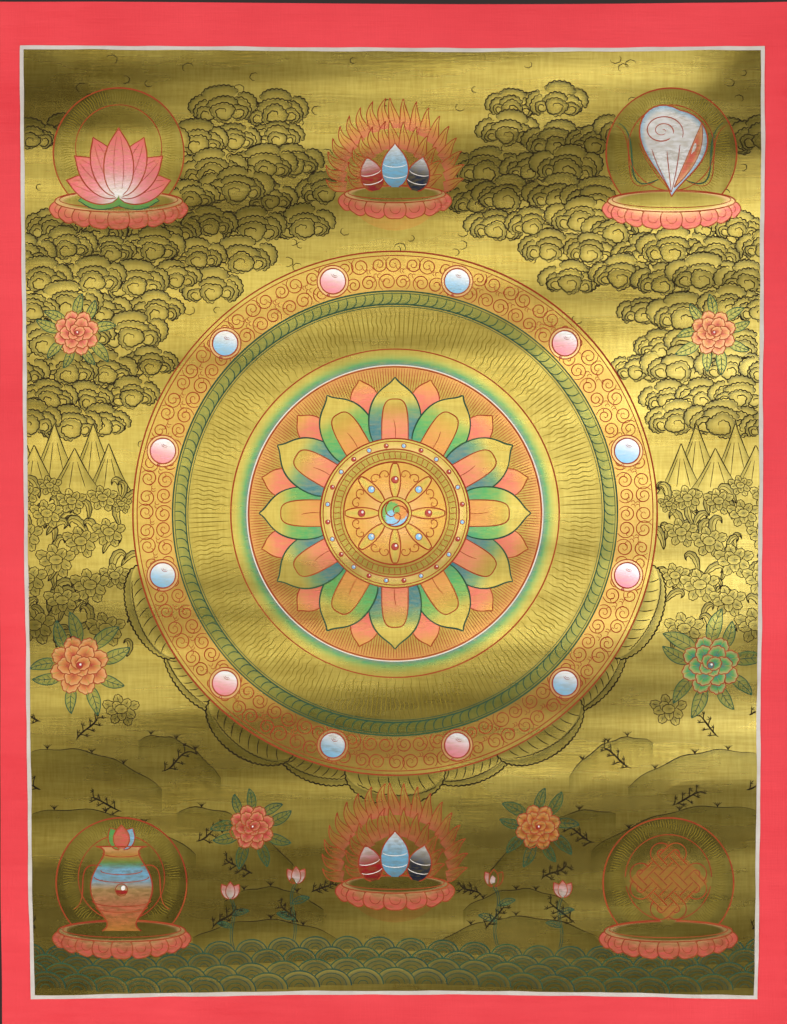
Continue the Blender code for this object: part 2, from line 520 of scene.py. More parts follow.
# %% Picture coordinates and the brush
PICTURE_Z = -336 * MM
RIDGE = 0.02 * MM
LINE_HEIGHT = 0.28 * MM
MIN_WIDTH = 0.16
chance = np.random.default_rng(108)
lines = {}


def picture_to_sheet(points):
    """From the picture's own millimetres, with 0, 0 at its middle, to X and Z on the sheet."""
    points = np.asarray(points, float)
    return points[..., 0] * MM, points[..., 1] * MM + PICTURE_Z


def resampled(path, step):
    """The path's points at even steps along its length."""
    along = np.concatenate([[0], np.cumsum(np.hypot(*np.diff(path, axis=0).T))])
    count = max(2, int(np.ceil(along[-1] / step)) + 1)
    at = np.linspace(0, along[-1], count)
    return np.stack([np.interp(at, along, path[:, 0]), np.interp(at, along, path[:, 1])], 1)


# %% What is already painted over
# Shapes are drawn from the front to the back. Each one reserves its place on a fine grid, and a
# later line is lifted where that place is taken, as a painter leaves out what is hidden.
CELL = 0.5
HALF_ACROSS, HALF_UP = 244, 314
cell_u = np.arange(-HALF_ACROSS, HALF_ACROSS, CELL) + CELL / 2
cell_v = np.arange(-HALF_UP, HALF_UP, CELL) + CELL / 2
cells = np.stack(np.meshgrid(cell_u, cell_v), -1)
sheet_x, sheet_z = picture_to_sheet(cells)
across_edges = edges_across(np.clip(-sheet_z / SHEET_HEIGHT, 0, 1))
down_edges = edges_down(np.clip(sheet_x / SHEET_WIDTH + 0.5, 0, 1))
taken = (sheet_x < across_edges[2]) | (sheet_x > across_edges[3])
taken |= (sheet_z > down_edges[2]) | (sheet_z < down_edges[3])
print("picture field, square metres:", round(float((~taken).sum()) * (CELL * MM) ** 2, 4))


def cell_of(points):
    """Column and row of the cell that each point lies in."""
    column = np.clip(((points[..., 0] + HALF_ACROSS) / CELL).astype(int), 0, taken.shape[1] - 1)
    row = np.clip(((points[..., 1] + HALF_UP) / CELL).astype(int), 0, taken.shape[0] - 1)
    return column, row


def is_taken(points):
    """Which points lie where something is already painted."""
    column, row = cell_of(points)
    return taken[row, column]


def reserve(outline):
    """Marks the inside of a closed outline as taken: a cell is inside where a line to its right
    crosses the outline an odd number of times."""
    outline = np.asarray(outline, float)
    left, bottom = (int(number) for number in cell_of(outline.min(0)))
    right, top = (int(number) for number in cell_of(outline.max(0)))
    near = cells[bottom:top + 1, left:right + 1]
    inside = np.zeros(near.shape[:2], bool)
    for (u0, v0), (u1, v1) in zip(outline, np.roll(outline, -1, 0)):
        if v0 != v1:
            crosses = (v0 > near[..., 1]) != (v1 > near[..., 1])
            inside ^= crosses & (near[..., 0] < (u1 - u0) * (near[..., 1] - v0) / (v1 - v0) + u0)
    taken[bottom:top + 1, left:right + 1] |= inside


def reserve_disc(centre, radius):
    """Marks a disc as taken."""
    taken[np.hypot(*(cells - centre).transpose(2, 0, 1)) < radius] = True


FINE_STEP = 0.4
SHORTEST_RUN = 3


def draw(piece, path, width, taper=0.45, step=1.25):
    """Adds a brush line to a piece. Its width swells along the line and thins to both ends, and
    the parts that lie under an earlier shape are left out."""
    fine = resampled(np.asarray(path, float), FINE_STEP)
    free = ~is_taken(fine)
    change = np.diff(np.concatenate([[False], free, [False]]).astype(int))
    for start, end in zip(np.flatnonzero(change == 1), np.flatnonzero(change == -1)):
        if end - start < SHORTEST_RUN:
            continue
        points = resampled(fine[start:end], step)
        share = np.linspace(-1, 1, len(points))
        swell = (1 - taper * np.abs(share) ** 3) * (1 + 0.12 * np.sin(share * 7 + chance.uniform(0, 6)))
        load = chance.uniform(0.55, 1) - 0.35 * (share + 1) / 2
        lines.setdefault(piece, []).append((points, np.maximum(width * swell, MIN_WIDTH), load))


def ridge_mesh(name, strokes, height):
    """All lines of a piece as one mesh. At each step the three points are the path's point moved
    half a width to the left, the point itself raised by the ridge, and half a width to the right."""
    all_points, quads, ends, loads, first = [], [], [], [], 0
    for path, width, load in strokes:
        along = np.gradient(path, axis=0)
        along /= np.maximum(np.hypot(*along.T), 1e-9)[:, None]
        sideways = np.stack([-along[:, 1], along[:, 0]], 1) * width[:, None] / 2
        flat = np.stack([path + sideways, path, path - sideways], 1)
        raised = np.broadcast_to([0, RIDGE, 0], flat.shape[:2])
        x, z = picture_to_sheet(flat)
        all_points.append(on_cloth(x, z, height + raised).reshape(-1, 3))
        at = first + 3 * np.arange(len(path) - 1)
        for one, two in ((0, 1), (1, 2), (2, 0)):
            quads.append(np.stack([at + one, at + two, at + two + 3, at + one + 3], 1))
        last = first + 3 * (len(path) - 1)
        ends += [(first, first + 2, first + 1), (last, last + 1, last + 2)]
        loads.append(np.repeat(load, 3))
        first += 3 * len(path)
    mesh = make_mesh(name, np.concatenate(all_points), np.concatenate(quads), np.array(ends))
    mesh.attributes.new("load", "FLOAT", "POINT").data.foreach_set("value", np.concatenate(loads))
    add_flat_map(mesh)
    return mesh


# %% Washes
# A wash is a patch of paint given as a grid of points with a colour and a strength at each. It
# is trimmed where something in front covers it, so that it runs just under that shape's line.
washes = {}
LEVELS, LEVEL_STEP = 7, 0.004 * MM
UNDER = -LEVELS * LEVEL_STEP
JUST_ABOVE, WELL_ABOVE = 0.02 * MM, 0.03 * MM
UNDERLAP = 0.2
SEARCH_STEPS = 6
NEIGHBOURS = [(down, right) for down in (-1, 0, 1) for right in (-1, 0, 1) if down or right]


def trimmed(points):
    """The grid with every corner that lies under an earlier shape drawn back to that shape's
    edge: halving steps search along the way to the nearest neighbour that lies free."""
    rows, columns = points.shape[:2]
    closed = np.allclose(points[:, 0], points[:, -1])
    hidden = is_taken(points)
    free_point, gap = points.copy(), np.full((rows, columns), np.inf)
    for down, right in NEIGHBOURS:
        row = np.clip(np.arange(rows) + down, 0, rows - 1)
        column = np.arange(columns) + right
        column = column % (columns - 1) if closed else np.clip(column, 0, columns - 1)
        other, other_hidden = points[row][:, column], hidden[row][:, column]
        distance = np.hypot(*(other - points).transpose(2, 0, 1))
        nearer = hidden & ~other_hidden & (distance < gap)
        free_point[nearer], gap[nearer] = other[nearer], distance[nearer]
    low, high = np.zeros((rows, columns)), np.ones((rows, columns))
    for _ in range(SEARCH_STEPS):
        middle = (low + high) / 2
        under = is_taken(free_point + (points - free_point) * middle[..., None])
        high, low = np.where(under, middle, high), np.where(under, low, middle)
    share = np.minimum(high + UNDERLAP / np.maximum(gap, UNDERLAP), 1)[..., None]
    return np.where((gap < np.inf)[..., None], free_point + (points - free_point) * share, points)


def wash(piece, points, colours, level=0.0):
    """Adds a patch to a piece. Colours are red, green, blue and strength at each point."""
    points = np.asarray(points, float)
    colours = np.broadcast_to(np.asarray(colours, float), (*points.shape[:2], 4))
    faces = grid_faces(*points.shape[:2])
    corners = points.reshape(-1, 2)[faces]
    hidden = is_taken(corners.mean(1)) & is_taken(corners).all(1)
    faces = faces[~hidden]
    flat = trimmed(points).reshape(-1, 2)
    if len(faces):
        patches = washes.setdefault(piece, [])
        level += LEVEL_STEP * (LEVELS - len(patches) % LEVELS)
        patches.append((flat, faces, colours.reshape(-1, 4), level))


def paint_shape(line, outline, width, piece, patch, colours, taper=0.45, step=1.25):
    """One closed shape as a painter makes it: its outline, its wash, and its place reserved."""
    draw(line, outline, width, taper, step)
    wash(piece, patch, colours)
    reserve(outline)


WELD_DISTANCE = 0.0005 * MM


def wash_mesh(name, patches, height):
    """All patches of a piece as one mesh, with their colours as a point attribute."""
    all_points, all_faces, all_colours, first = [], [], [], 0
    for flat, faces, colours, level in patches:
        flat, used = used_part(np.concatenate([flat, colours], 1), faces)
        x, z = picture_to_sheet(flat[:, :2])
        points = on_cloth(x, z, height + level)
        all_points.append(points)
        all_faces.append(facing_front(points, used) + first)
        all_colours.append(flat[:, 2:])
        first += len(points)
    mesh = make_mesh(name, np.concatenate(all_points), np.concatenate(all_faces))
    attribute = mesh.attributes.new("wash", "FLOAT_COLOR", "POINT")
    attribute.data.foreach_set("color", np.concatenate(all_colours).astype(np.float32).ravel())
    weld = bmesh.new()
    weld.from_mesh(mesh)
    bmesh.ops.remove_doubles(weld, verts=weld.verts, dist=WELD_DISTANCE)
    weld.to_mesh(mesh)
    weld.free()
    add_flat_map(mesh)
    return mesh


def tinted(colour, strength):
    """A colour with the strength of its wash."""
    return np.array([*colour, strength])


def graded(share, *stops):
    """A colour that runs through stops of (place, colour) as the share goes from 0 to 1."""
    places = [place for place, _ in stops]
    parts = [np.interp(share, places, [colour[i] for _, colour in stops]) for i in range(4)]
    return np.stack(parts, -1)


def in_rings(*colours):
    """One colour for each ring of a patch, from its middle outwards."""
    return np.stack(colours)[:, None]


# %% [markdown]
# ## Curves that the motifs share
# Most of the ornament comes from five curves: the circle, the spiral, the line of small bumps
# round a cloud, the ogee side of a lotus petal and Bernstein's curve through control points. Each
# is a formula, so one motif can be drawn at any place, size and turn.

# %% Shared curves
TURN = 2 * np.pi


def heading(angle):
    """The unit step at an angle."""
    return np.array([np.cos(angle), np.sin(angle)])


def ring(radius, centre=(0, 0), start=0.0, sweep=TURN, squash=1.0, step=1.25):
    """Points on an arc: the centre plus the radius along each angle, flattened by squash."""
    count = max(8, int(abs(sweep) * radius / step) + 1)
    angle = start + np.linspace(0, sweep, count)
    return np.stack([np.cos(angle), squash * np.sin(angle)], 1) * radius + np.asarray(centre)


def bezier(controls, count):
    """A smooth curve drawn towards each control point in turn (Bernstein's sum)."""
    share = np.linspace(0, 1, count)[:, None]
    last = len(controls) - 1
    return sum(comb(last, k) * share**k * (1 - share) ** (last - k) * np.asarray(control, float)
               for k, control in enumerate(controls))


def turned(points, angle):
    """Points turned about 0, 0."""
    cos, sin = np.cos(angle), np.sin(angle)
    return np.asarray(points) @ np.array([[cos, sin], [-sin, cos]])


def placed(points, centre, angle=0.0, scale=1.0):
    """Points scaled, turned and moved to a centre."""
    return turned(np.asarray(points) * scale, angle) + np.asarray(centre)


def sides_of(path):
    """The unit step to the left of the path at each of its points."""
    along = np.gradient(path, axis=0)
    along /= np.maximum(np.hypot(*along.T), 1e-9)[:, None]
    return np.stack([-along[:, 1], along[:, 0]], 1)


def bumpy(path, bump, height, hand=1, fade=0.0):
    """The path with small rounded bumps on its outer side, as high as the sine of the distance
    run, without its sign. They can fade towards the path's end."""
    fine = resampled(path, 0.5)
    share = np.linspace(0, 1, len(fine))
    count = max(2, round(len(fine) * 0.5 / bump))
    rise = height * np.abs(np.sin(np.pi * count * share)) * (1 - fade * share)
    return fine - hand * sides_of(fine) * rise[:, None]


def curl(size, start, turns, hand=1, squash=1.0, tail=0.08, power=0.8, count=48):
    """A spiral that starts at its rim and winds in: the radius shrinks as a power of the way."""
    share = np.linspace(0, 1, count)
    radius = size * (1 - (1 - tail) * share**power)
    angle = start + hand * TURN * turns * share
    return np.stack([radius * np.cos(angle), squash * radius * np.sin(angle)], 1)


# Half width and height of a petal's side, as shares of its size, from the foot to the tip
OGEE_SIDE = ((0.80, 0), (1.12, 0.22), (1.12, 0.92), (0.22, 0.78), (0.14, 0.93), (0, 1))
ARCH_SIDE = ((0.86, 0), (0.86, 0.42), (0.96, 1.04), (0.42, 1.0), (0, 1.0))
BUD_SIDE = ((0.25, 0), (1.2, 0.15), (1.15, 0.75), (0.2, 0.85), (0, 1))
ROUND_SIDE = ((0.72, 0), (1.10, 0.10), (1.22, 0.98), (0.62, 1.04), (0, 1))


def petal_line(side, half_width, length, count=14):
    """The closed outline of a petal that stands on 0, 0 and points along +v."""
    right = bezier(side, count) * (half_width, length)
    return np.concatenate([right, right[-2::-1] * (-1, 1)])


def mirrored(side):
    """A side line and its mirror image as one closed outline."""
    return np.concatenate([side, side[::-1] * (-1, 1)])


def mirrored_patch(side, columns=9):
    """A grid between a side line and its mirror image: -1 to 1 times its reach at each height."""
    across = np.linspace(-1, 1, columns)
    return np.stack([side[:, :1] * across, np.repeat(side[:, 1:], columns, 1)], -1)


def petal_patch(side, half_width, length, rows=9, columns=7):
    """A grid over a petal that stands on 0, 0."""
    return mirrored_patch(bezier(side, rows) * (half_width, length), columns)


def disc_patch(radius, centre=(0, 0), rings=4, around=24, inner=0.0, squash=1.0):
    """A grid over a disc or a ring: rings by angles."""
    reach = np.linspace(inner, radius, rings + 1)[:, None]
    angle = np.linspace(0, TURN, around + 1)
    grid = np.stack([reach * np.cos(angle), squash * reach * np.sin(angle)], -1)
    return grid + np.asarray(centre)


def loop_patch(outline, rings=(0.0, 0.55, 0.82, 1.0)):
    """A grid over the inside of a loop: the loop itself, drawn in towards its middle."""
    middle = outline.mean(0)
    return middle + np.asarray(rings)[:, None, None] * (outline - middle)


# %% [markdown]
# ## The lotus wheel
# The middle of the picture is a wheel of rings. From the outside in they are a scrollwork band
# with round jewels, a leaf garland, a field of fine gold rays, a green halo, lotus petals in two
# rows and an eight-spoked wheel. A painter rules the circles first and fills ring by ring, and so
# does this cell: a table of radii carries the ground colours, and loops repeat each ornament.

# %% Radii of the wheel
WHEEL = np.array([0.0, 6.0])
RIM, SCROLL_OUT, SCROLL_IN = 168.5, 166, 143
GARLAND_IN, RAYS_IN = 134.5, 106.5
HALO_OUT, HALO_IN = 104.5, 95.5
PETAL_FOOT, HUB_OUT = 46.0, 48
JEWELS, PETALS, SPOKES = 12, 12, 8
# Radius and wash from the middle outwards
WHEEL_GROUND = (
    (0, tinted(PEACH, 0.75)),
    (20, tinted(ORANGE, 0.62)),
    (34, tinted(ORANGE, 0.40)),
    (44, tinted(GOLD, 0.12)),
    (HUB_OUT, tinted(GOLD, 0.05)),
    (PETAL_FOOT + 22, tinted(ORANGE, 0.55)),
    (HALO_IN - 14, tinted(CRIMSON * 0.35 + OLIVE * 0.65, 0.35)),
    (HALO_IN - 1.2, tinted(SALMON * 0.6 + ORANGE * 0.4, 0.55)),
    (HALO_IN, tinted(TEAL, 0.75)),
    (HALO_IN + 2.4, tinted(GREEN * 0.8 + TEAL * 0.2, 0.85)),
    (HALO_IN + 5.0, tinted(GREEN * 0.6 + GOLD * 0.4, 0.6)),
    (HALO_OUT, tinted(GOLD, 0.12)),
    (RAYS_IN, tinted(OLIVE, 0.10)),
    (GARLAND_IN - 4, tinted(OLIVE, 0.12)),
    (GARLAND_IN, tinted(OLIVE, 0.35)),
    (GARLAND_IN + 0.5, tinted(OLIVE * 0.75 + GREEN * 0.25, 0.72)),
    (SCROLL_IN - 2, tinted(OLIVE * 0.7 + GREEN * 0.3, 0.5)),
    (SCROLL_IN - 0.2, tinted(OLIVE, 0.3)),
    (SCROLL_IN + 0.2, tinted(ORANGE * 0.7 + GOLD * 0.3, 0.55)),
    (SCROLL_OUT, tinted(ORANGE * 0.55 + GOLD * 0.45, 0.42)),
    (RIM, tinted(GOLD, 0.1)),
)


RING_STEP = 3


def even_rings(reach, sides, *stops):
    """Rings of even wash round the wheel's middle, coloured by stops of (radius, colour)."""
    angle = np.linspace(0, TURN, sides + 1)
    points = np.stack([reach[:, None] * np.cos(angle), reach[:, None] * np.sin(angle)], -1) + WHEEL
    wash("wheel_ground", points, graded(reach, *stops)[:, None], level=UNDER)


def wheel_ground():
    """Rings between the radii of the table, cut into steps of about RING_STEP."""
    radii = [radius for radius, _ in WHEEL_GROUND]
    steps = [np.linspace(low, high, max(2, int((high - low) / RING_STEP) + 1))[:-1]
             for low, high in zip(radii, radii[1:])]
    even_rings(np.append(np.concatenate(steps), radii[-1]), 240, *WHEEL_GROUND)


def around_wheel(points, angle, radius=0.0):
    """Places a motif on the wheel: its own +v points outwards at the angle."""
    return placed(points, WHEEL + radius * heading(angle), angle - TURN / 4)


def circle(piece, radius, width, centre=WHEEL):
    """A ruled circle. The wider it is, the longer its steps may be."""
    draw(piece, ring(radius, centre), width, taper=0, step=min(3.2, 0.6 + radius / 28))


# %% Jewels and scrollwork
JEWEL_RADIUS = 8.2
LIGHT_FROM, CUSP_AT = TURN * 0.2, -TURN * 0.3


def small_stone(centre, radius, colour, line="wheel_red_lines"):
    """A small stone with a white dot."""
    wash("jewels", disc_patch(radius, centre, rings=2, around=14), tinted(colour, 1), JUST_ABOVE)
    dot = ring(radius * 0.22, np.asarray(centre) + radius * 0.3)
    draw("wheel_white_lines", dot, radius * 0.36, step=0.4)
    draw(line, ring(radius, centre, step=0.8), 0.5, taper=0)
    reserve_disc(centre, radius * 1.08)


def jewel(centre, radius, colour):
    """A round stone: its colour pales towards the lit side, where it has two fine glints. A
    gold setting with a cusp holds it between two red rings."""
    patch = disc_patch(radius, centre, rings=5, around=28)
    lit = ((patch - centre) @ heading(LIGHT_FROM) / radius + 1) / 2
    glint_centre = centre + radius * 0.60 * heading(LIGHT_FROM)
    for reach in (0.16, 0.28):
        draw("wheel_red_lines", ring(radius * reach, glint_centre, LIGHT_FROM + 2.0, 2.2), 0.35)
    paler = colour * 0.75 + WHITE * 0.25
    shades = ((0, tinted(colour, 1)), (0.4, tinted(paler, 1)), (0.85, tinted(WHITE, 1)))
    wash("jewels", patch, graded(lit, *shades), JUST_ABOVE)
    draw("wheel_red_lines", ring(radius, centre), 0.8, taper=0)
    reserve_disc(centre, radius)
    setting = radius * 1.24
    draw("wheel_red_lines", ring(setting, centre), 0.7, taper=0)
    small_stone(centre + heading(CUSP_AT) * radius * 1.16, 0.9, CRIMSON)
    wash("jewels", disc_patch(setting, centre, 2, 28, inner=radius * 0.97), tinted(PEACH, 0.7))
    reserve_disc(centre, radius * 1.28)


CURL_SIZE, CURL_INSET = 5.4, 5.8
CURL_ROWS = ((86, SCROLL_IN + CURL_INSET, 1), (92, SCROLL_OUT - CURL_INSET, -1))
# Place of each hook as shares of the curl's size, and where its arc starts
CURL_HOOKS = ((0.95, 0.78, 0.9), (0.55, 0.312, 2.6))


def scroll_band():
    """Twelve jewels with curls between them, in two rows that wind in opposite hands."""
    middle = (SCROLL_OUT + SCROLL_IN) / 2
    for number in range(JEWELS):
        angle = TURN * (number + 0.5) / JEWELS
        jewel(WHEEL + middle * heading(angle), JEWEL_RADIUS, (SKY, PINK)[number % 2])
    for count, radius, facing in CURL_ROWS:
        for number in range(count):
            hand = 1 if number % 2 else -1
            angle = TURN * (number + 0.06 * hand) / count
            grown = CURL_SIZE * chance.uniform(0.92, 1.1)
            start = facing * np.pi / 2 - hand * 2.6
            shape = curl(grown, start, 1.9, hand, tail=0.12, power=1.15, count=40)
            draw("wheel_scroll_lines", around_wheel(shape, angle, radius), 0.66)
            for aside, out, turn in CURL_HOOKS:
                hook = ring(1.35, (aside * CURL_SIZE * hand, facing * out * CURL_SIZE), turn, 3.6)
                draw("wheel_scroll_lines", around_wheel(hook, angle, radius), 0.45, step=0.9)
    circle("wheel_red_lines", RIM, 1.0)
    circle("wheel_red_lines", SCROLL_OUT - 0.2, 0.6)


# %% Garland, rays and halo


GARLAND_RINGS = ((SCROLL_IN, 0.95), (SCROLL_IN - 1.5, 0.45), (GARLAND_IN, 0.85), (GARLAND_IN - 1.4, 0.45))
GARLAND_LEAVES, WHEEL_RAYS = 150, 264


def garland():
    """Leaves laid round a ring: short hooked lines that all lean one way."""
    for radius, width in GARLAND_RINGS:
        circle("wheel_teal_lines", radius, width)
    leaf_side = bezier(((-2.4, 0.4), (0.2, 0.8), (1.9, 3.6), (1.0, SCROLL_IN - GARLAND_IN - 1.7)), 8)
    for number in range(GARLAND_LEAVES):
        draw("wheel_teal_lines", around_wheel(leaf_side, TURN * number / GARLAND_LEAVES, GARLAND_IN), 0.62)


def rays(centre, inner, outer, count, piece, width, wave, band=6):
    """Fine rays between two radii. Every second one starts late, and in every second band of
    them the rays ripple."""
    for number in range(count):
        start = inner + (number % 2) * 0.25 * (outer - inner)
        rippled = (number // band) % 2
        reach = np.linspace(start, outer, 16)
        path = np.stack([rippled * wave * np.sin(reach * 0.8), reach], 1)
        draw(piece, turned(path, TURN * number / count - TURN / 4) + centre, width, taper=0.7,
             step=2.0 if rippled else 4.5)


def halo():
    """The green halo's edges: a red line outside, and inside a pale one and a dark red one."""
    circle("wheel_red_lines", HALO_OUT + 1, 0.85)
    circle("wheel_red_lines", HALO_IN - 1.5, 0.8)
    circle("wheel_white_lines", HALO_IN - 0.4, 0.6)


# %% [markdown]
# ## Petals of the wheel
# On the cloth each petal is an outline, an arch inside it, and colour that is wetted out from
# the foot to nothing at the tip. One petal is modelled on 0, 0, as two mirrored side curves with
# a grid between them, and a loop turns it into twelve. The broad ones are drawn first, and what
# they reserve trims the small ones behind.

# %% Lotus petals
PETAL_LENGTH, PETAL_HALF = 41.5, 17.6
SMALL_LENGTH, SMALL_HALF, SMALL_OUT = 25, 10.0, 18
HATCHES = 330


def lotus_petal(place, half_width, length, cool, warm):
    """A broad petal: a rim that runs from gold at the tip through green to blue at the foot, and
    an arch inside it that runs from gold to salmon or orange."""
    arch_half, arch_length = half_width * 0.56, length * 0.66
    vein = bezier(((0, 0), (1.0, length * 0.2), (-0.8, length * 0.34)), 8)
    draw("petal_red_lines", place(vein), 0.45)
    draw("petal_red_lines", place(petal_line(ARCH_SIDE, arch_half, arch_length)), 0.75, taper=0.2)
    arch = petal_patch(ARCH_SIDE, arch_half, arch_length, 12, 7)
    up = arch[..., 1] / arch_length
    colours = graded(up, (0, tinted(warm, 0.95)), (0.45, tinted(warm * 0.85 + GOLD * 0.15, 0.85)),
                     (0.8, tinted(GOLD_DEEP * 0.6 + warm * 0.4, 0.45)), (1, tinted(GOLD_DEEP, 0.2)))
    wash("petals", place(arch), colours, WELL_ABOVE)
    reserve(place(petal_line(ARCH_SIDE, arch_half * 0.96, arch_length * 0.98)))
    rim = petal_patch(OGEE_SIDE, half_width, length, 18, 15)
    up = rim[..., 1] / length
    colours = graded(up, (0, tinted(cool * 0.6 + TEAL * 0.4, 0.95)), (0.28, tinted(cool, 0.92)),
                     (0.52, tinted(cool * 0.4 + GREEN * 0.6, 0.7)), (0.72, tinted(GOLD, 0.2)),
                     (1, tinted(GOLD, 0.05)))
    draw("petal_teal_lines", place(petal_line(OGEE_SIDE, half_width, length, 26)), 0.95, taper=0.15)
    wash("petals", place(rim), colours)
    reserve(place(petal_line(OGEE_SIDE, half_width, length)))


def back_petal(place, half_width, length):
    """A small pointed petal that shows between two broad ones."""
    small = petal_patch(OGEE_SIDE, half_width, length, 10, 7)
    colours = graded(small[..., 1] / length, (0, tinted(ROSE, 0.9)), (0.6, tinted(SALMON, 0.85)),
                     (1, tinted(ORANGE, 0.4)))
    paint_shape("petal_red_lines", place(petal_line(OGEE_SIDE, half_width, length)), 0.75,
                "petals", place(small), colours, taper=0.2)


def petal_ring():
    """Twelve broad petals with small ones between their tips, over a band of red hatching."""
    pitch = TURN / PETALS
    for number in range(PETALS):
        lotus_petal(lambda shape: around_wheel(shape, pitch * number, PETAL_FOOT), PETAL_HALF,
                    PETAL_LENGTH, (GREEN, TEAL)[number % 2], (ORANGE, SALMON)[number % 2])
    for number in range(PETALS):
        angle = pitch * (number + 0.5)
        back_petal(lambda shape: around_wheel(shape, angle, PETAL_FOOT + SMALL_OUT), SMALL_HALF,
                   SMALL_LENGTH)
    tick = np.array([[0, PETAL_FOOT + 26], [0, HALO_IN - 2.4]])
    for number in range(HATCHES):
        draw("petal_red_lines", around_wheel(tick, TURN * number / HATCHES), 0.42, step=5)


# %% [markdown]
# ## Hub, spokes and rim
# The wheel's heart is finer than the rest, so it is drawn first and everything else stops at it.
# The three colours of the hub need no cuts: each point of a disc takes the colour of the turn
# that it lies in, and the turn winds with the radius.

# %% The eight-spoked wheel
SPOKE_JEWELS = (CRIMSON, SKY)


def hub():
    """A disc in three colours that turn into one another, inside two red rings."""
    for number in range(3):
        seam = curl(8.0, TURN * number / 3, 0.42, 1, tail=0.05, power=1.2, count=18)
        draw("wheel_red_lines", seam + WHEEL, 0.7, taper=0.2)
    circle("wheel_red_lines", 8.6, 0.9)
    circle("wheel_red_lines", 10.6, 0.6)
    reach = np.linspace(0, 1, 11)[:, None]
    angle = np.linspace(0, TURN, 97)
    sector = ((angle / TURN + 0.42 * (1 - reach)) % 1) * 3
    tones = np.stack([tinted(ORANGE, 0.9), tinted(GREEN, 0.8), tinted(SKY, 0.9)])
    wash("jewels", disc_patch(8.4, WHEEL, 10, 96), tones[np.clip(sector.astype(int), 0, 2)])
    reserve_disc(WHEEL, 10.6)


def spokes():
    """Eight pointed spokes, each with a stone and a pair of curls."""
    lens = bezier(((1.0, 10), (3.6, 15), (4.4, 21), (3.6, 28), (1.4, 32)), 16)
    spoke = mirrored(lens)
    across = np.abs(np.linspace(-1, 1, 5))[None] * np.ones((16, 1))
    tones = graded(across, (0, tinted(GOLD, 0.15)), (1, tinted(ORANGE, 0.8)))
    for number in range(SPOKES):
        angle = TURN * number / SPOKES
        small_stone(around_wheel(np.array([[0, 21.5]]), angle)[0], 2.3, SPOKE_JEWELS[number % 2])
        paint_shape("wheel_red_lines", around_wheel(spoke, angle), 0.8,
                    "petals", around_wheel(mirrored_patch(lens, 5), angle), tones, taper=0.1)
        for side in (-1, 1):
            hook = curl(4.2, -side * 0.6 + np.pi / 2 * (1 - side), 1.2, side, count=26)
            draw("wheel_red_lines", around_wheel(hook + (side * 6.2, 24.5), angle), 0.6)


RIM_STONES, RIM_STONES_AT, RIM_WAVES = 24, 43.6, 64
RIM_CIRCLES = ((33, 0.9), (35, 0.5), (39.5, 0.5), (41.2, 0.9), (46.2, 0.6), (HUB_OUT, 0.9))
RIM_RADII = np.array([0.0, 4, 8, 12, 16, 20, 24, 28, 32, 35, 37, 39.5, 42, 45, HUB_OUT])
RIM_GROUND = (
    (0, tinted(PEACH, 0.8)), (24, tinted(ORANGE, 0.55)), (34.9, tinted(ORANGE, 0.35)),
    (35, tinted(OLIVE, 0.35)), (39.5, tinted(OLIVE, 0.25)), (42, tinted(PEACH, 0.45)),
    (HUB_OUT, tinted(GOLD, 0.1)),
)


def wheel_rim():
    """Stones and a wavy band between ruled circles."""
    for number in range(RIM_STONES):
        angle = TURN * (number + 0.5) / RIM_STONES
        small_stone(WHEEL + RIM_STONES_AT * heading(angle), 1.5, SPOKE_JEWELS[number % 2])
    for radius, width in RIM_CIRCLES:
        circle("wheel_red_lines", radius, width)
    tick = bezier(((0, 35.2), (1.4, 36.4), (-1.2, 38.2), (0.4, 39.3)), 7)
    for number in range(RIM_WAVES):
        draw("wheel_red_lines", around_wheel(tick, TURN * number / RIM_WAVES), 0.5)
    even_rings(RIM_RADII, 120, *RIM_GROUND)
    reserve_disc(WHEEL, HUB_OUT)


hub()
spokes()
wheel_rim()
petal_ring()
halo()
rays(WHEEL, RAYS_IN, GARLAND_IN - 2, WHEEL_RAYS, "wheel_rays", 0.6, 0.6)
garland()
scroll_band()
wheel_ground()
reserve_disc(WHEEL, RIM)
print("wheel lines:", {name: len(strokes) for name, strokes in lines.items()})

# %% [markdown]
# ## Roundels
# Four small discs of rays stand in the corners, each with a lucky sign on a pink lotus. The sign
# is drawn first, then the lotus, then the disc behind both.

# %% Lotus seat and disc
ROUNDEL_RADIUS = 42.0
ROUNDEL_RAYS = 132
SEAT_SQUASH = 0.17
# Strength of the olive wash in each ring of the disc, from its middle outwards
ROUNDEL_WASH = (0.05, 0.05, 0.08, 0.1, 0.12, 0.15, 0.3, 0.2, 0.25, 0.35, 0.5)


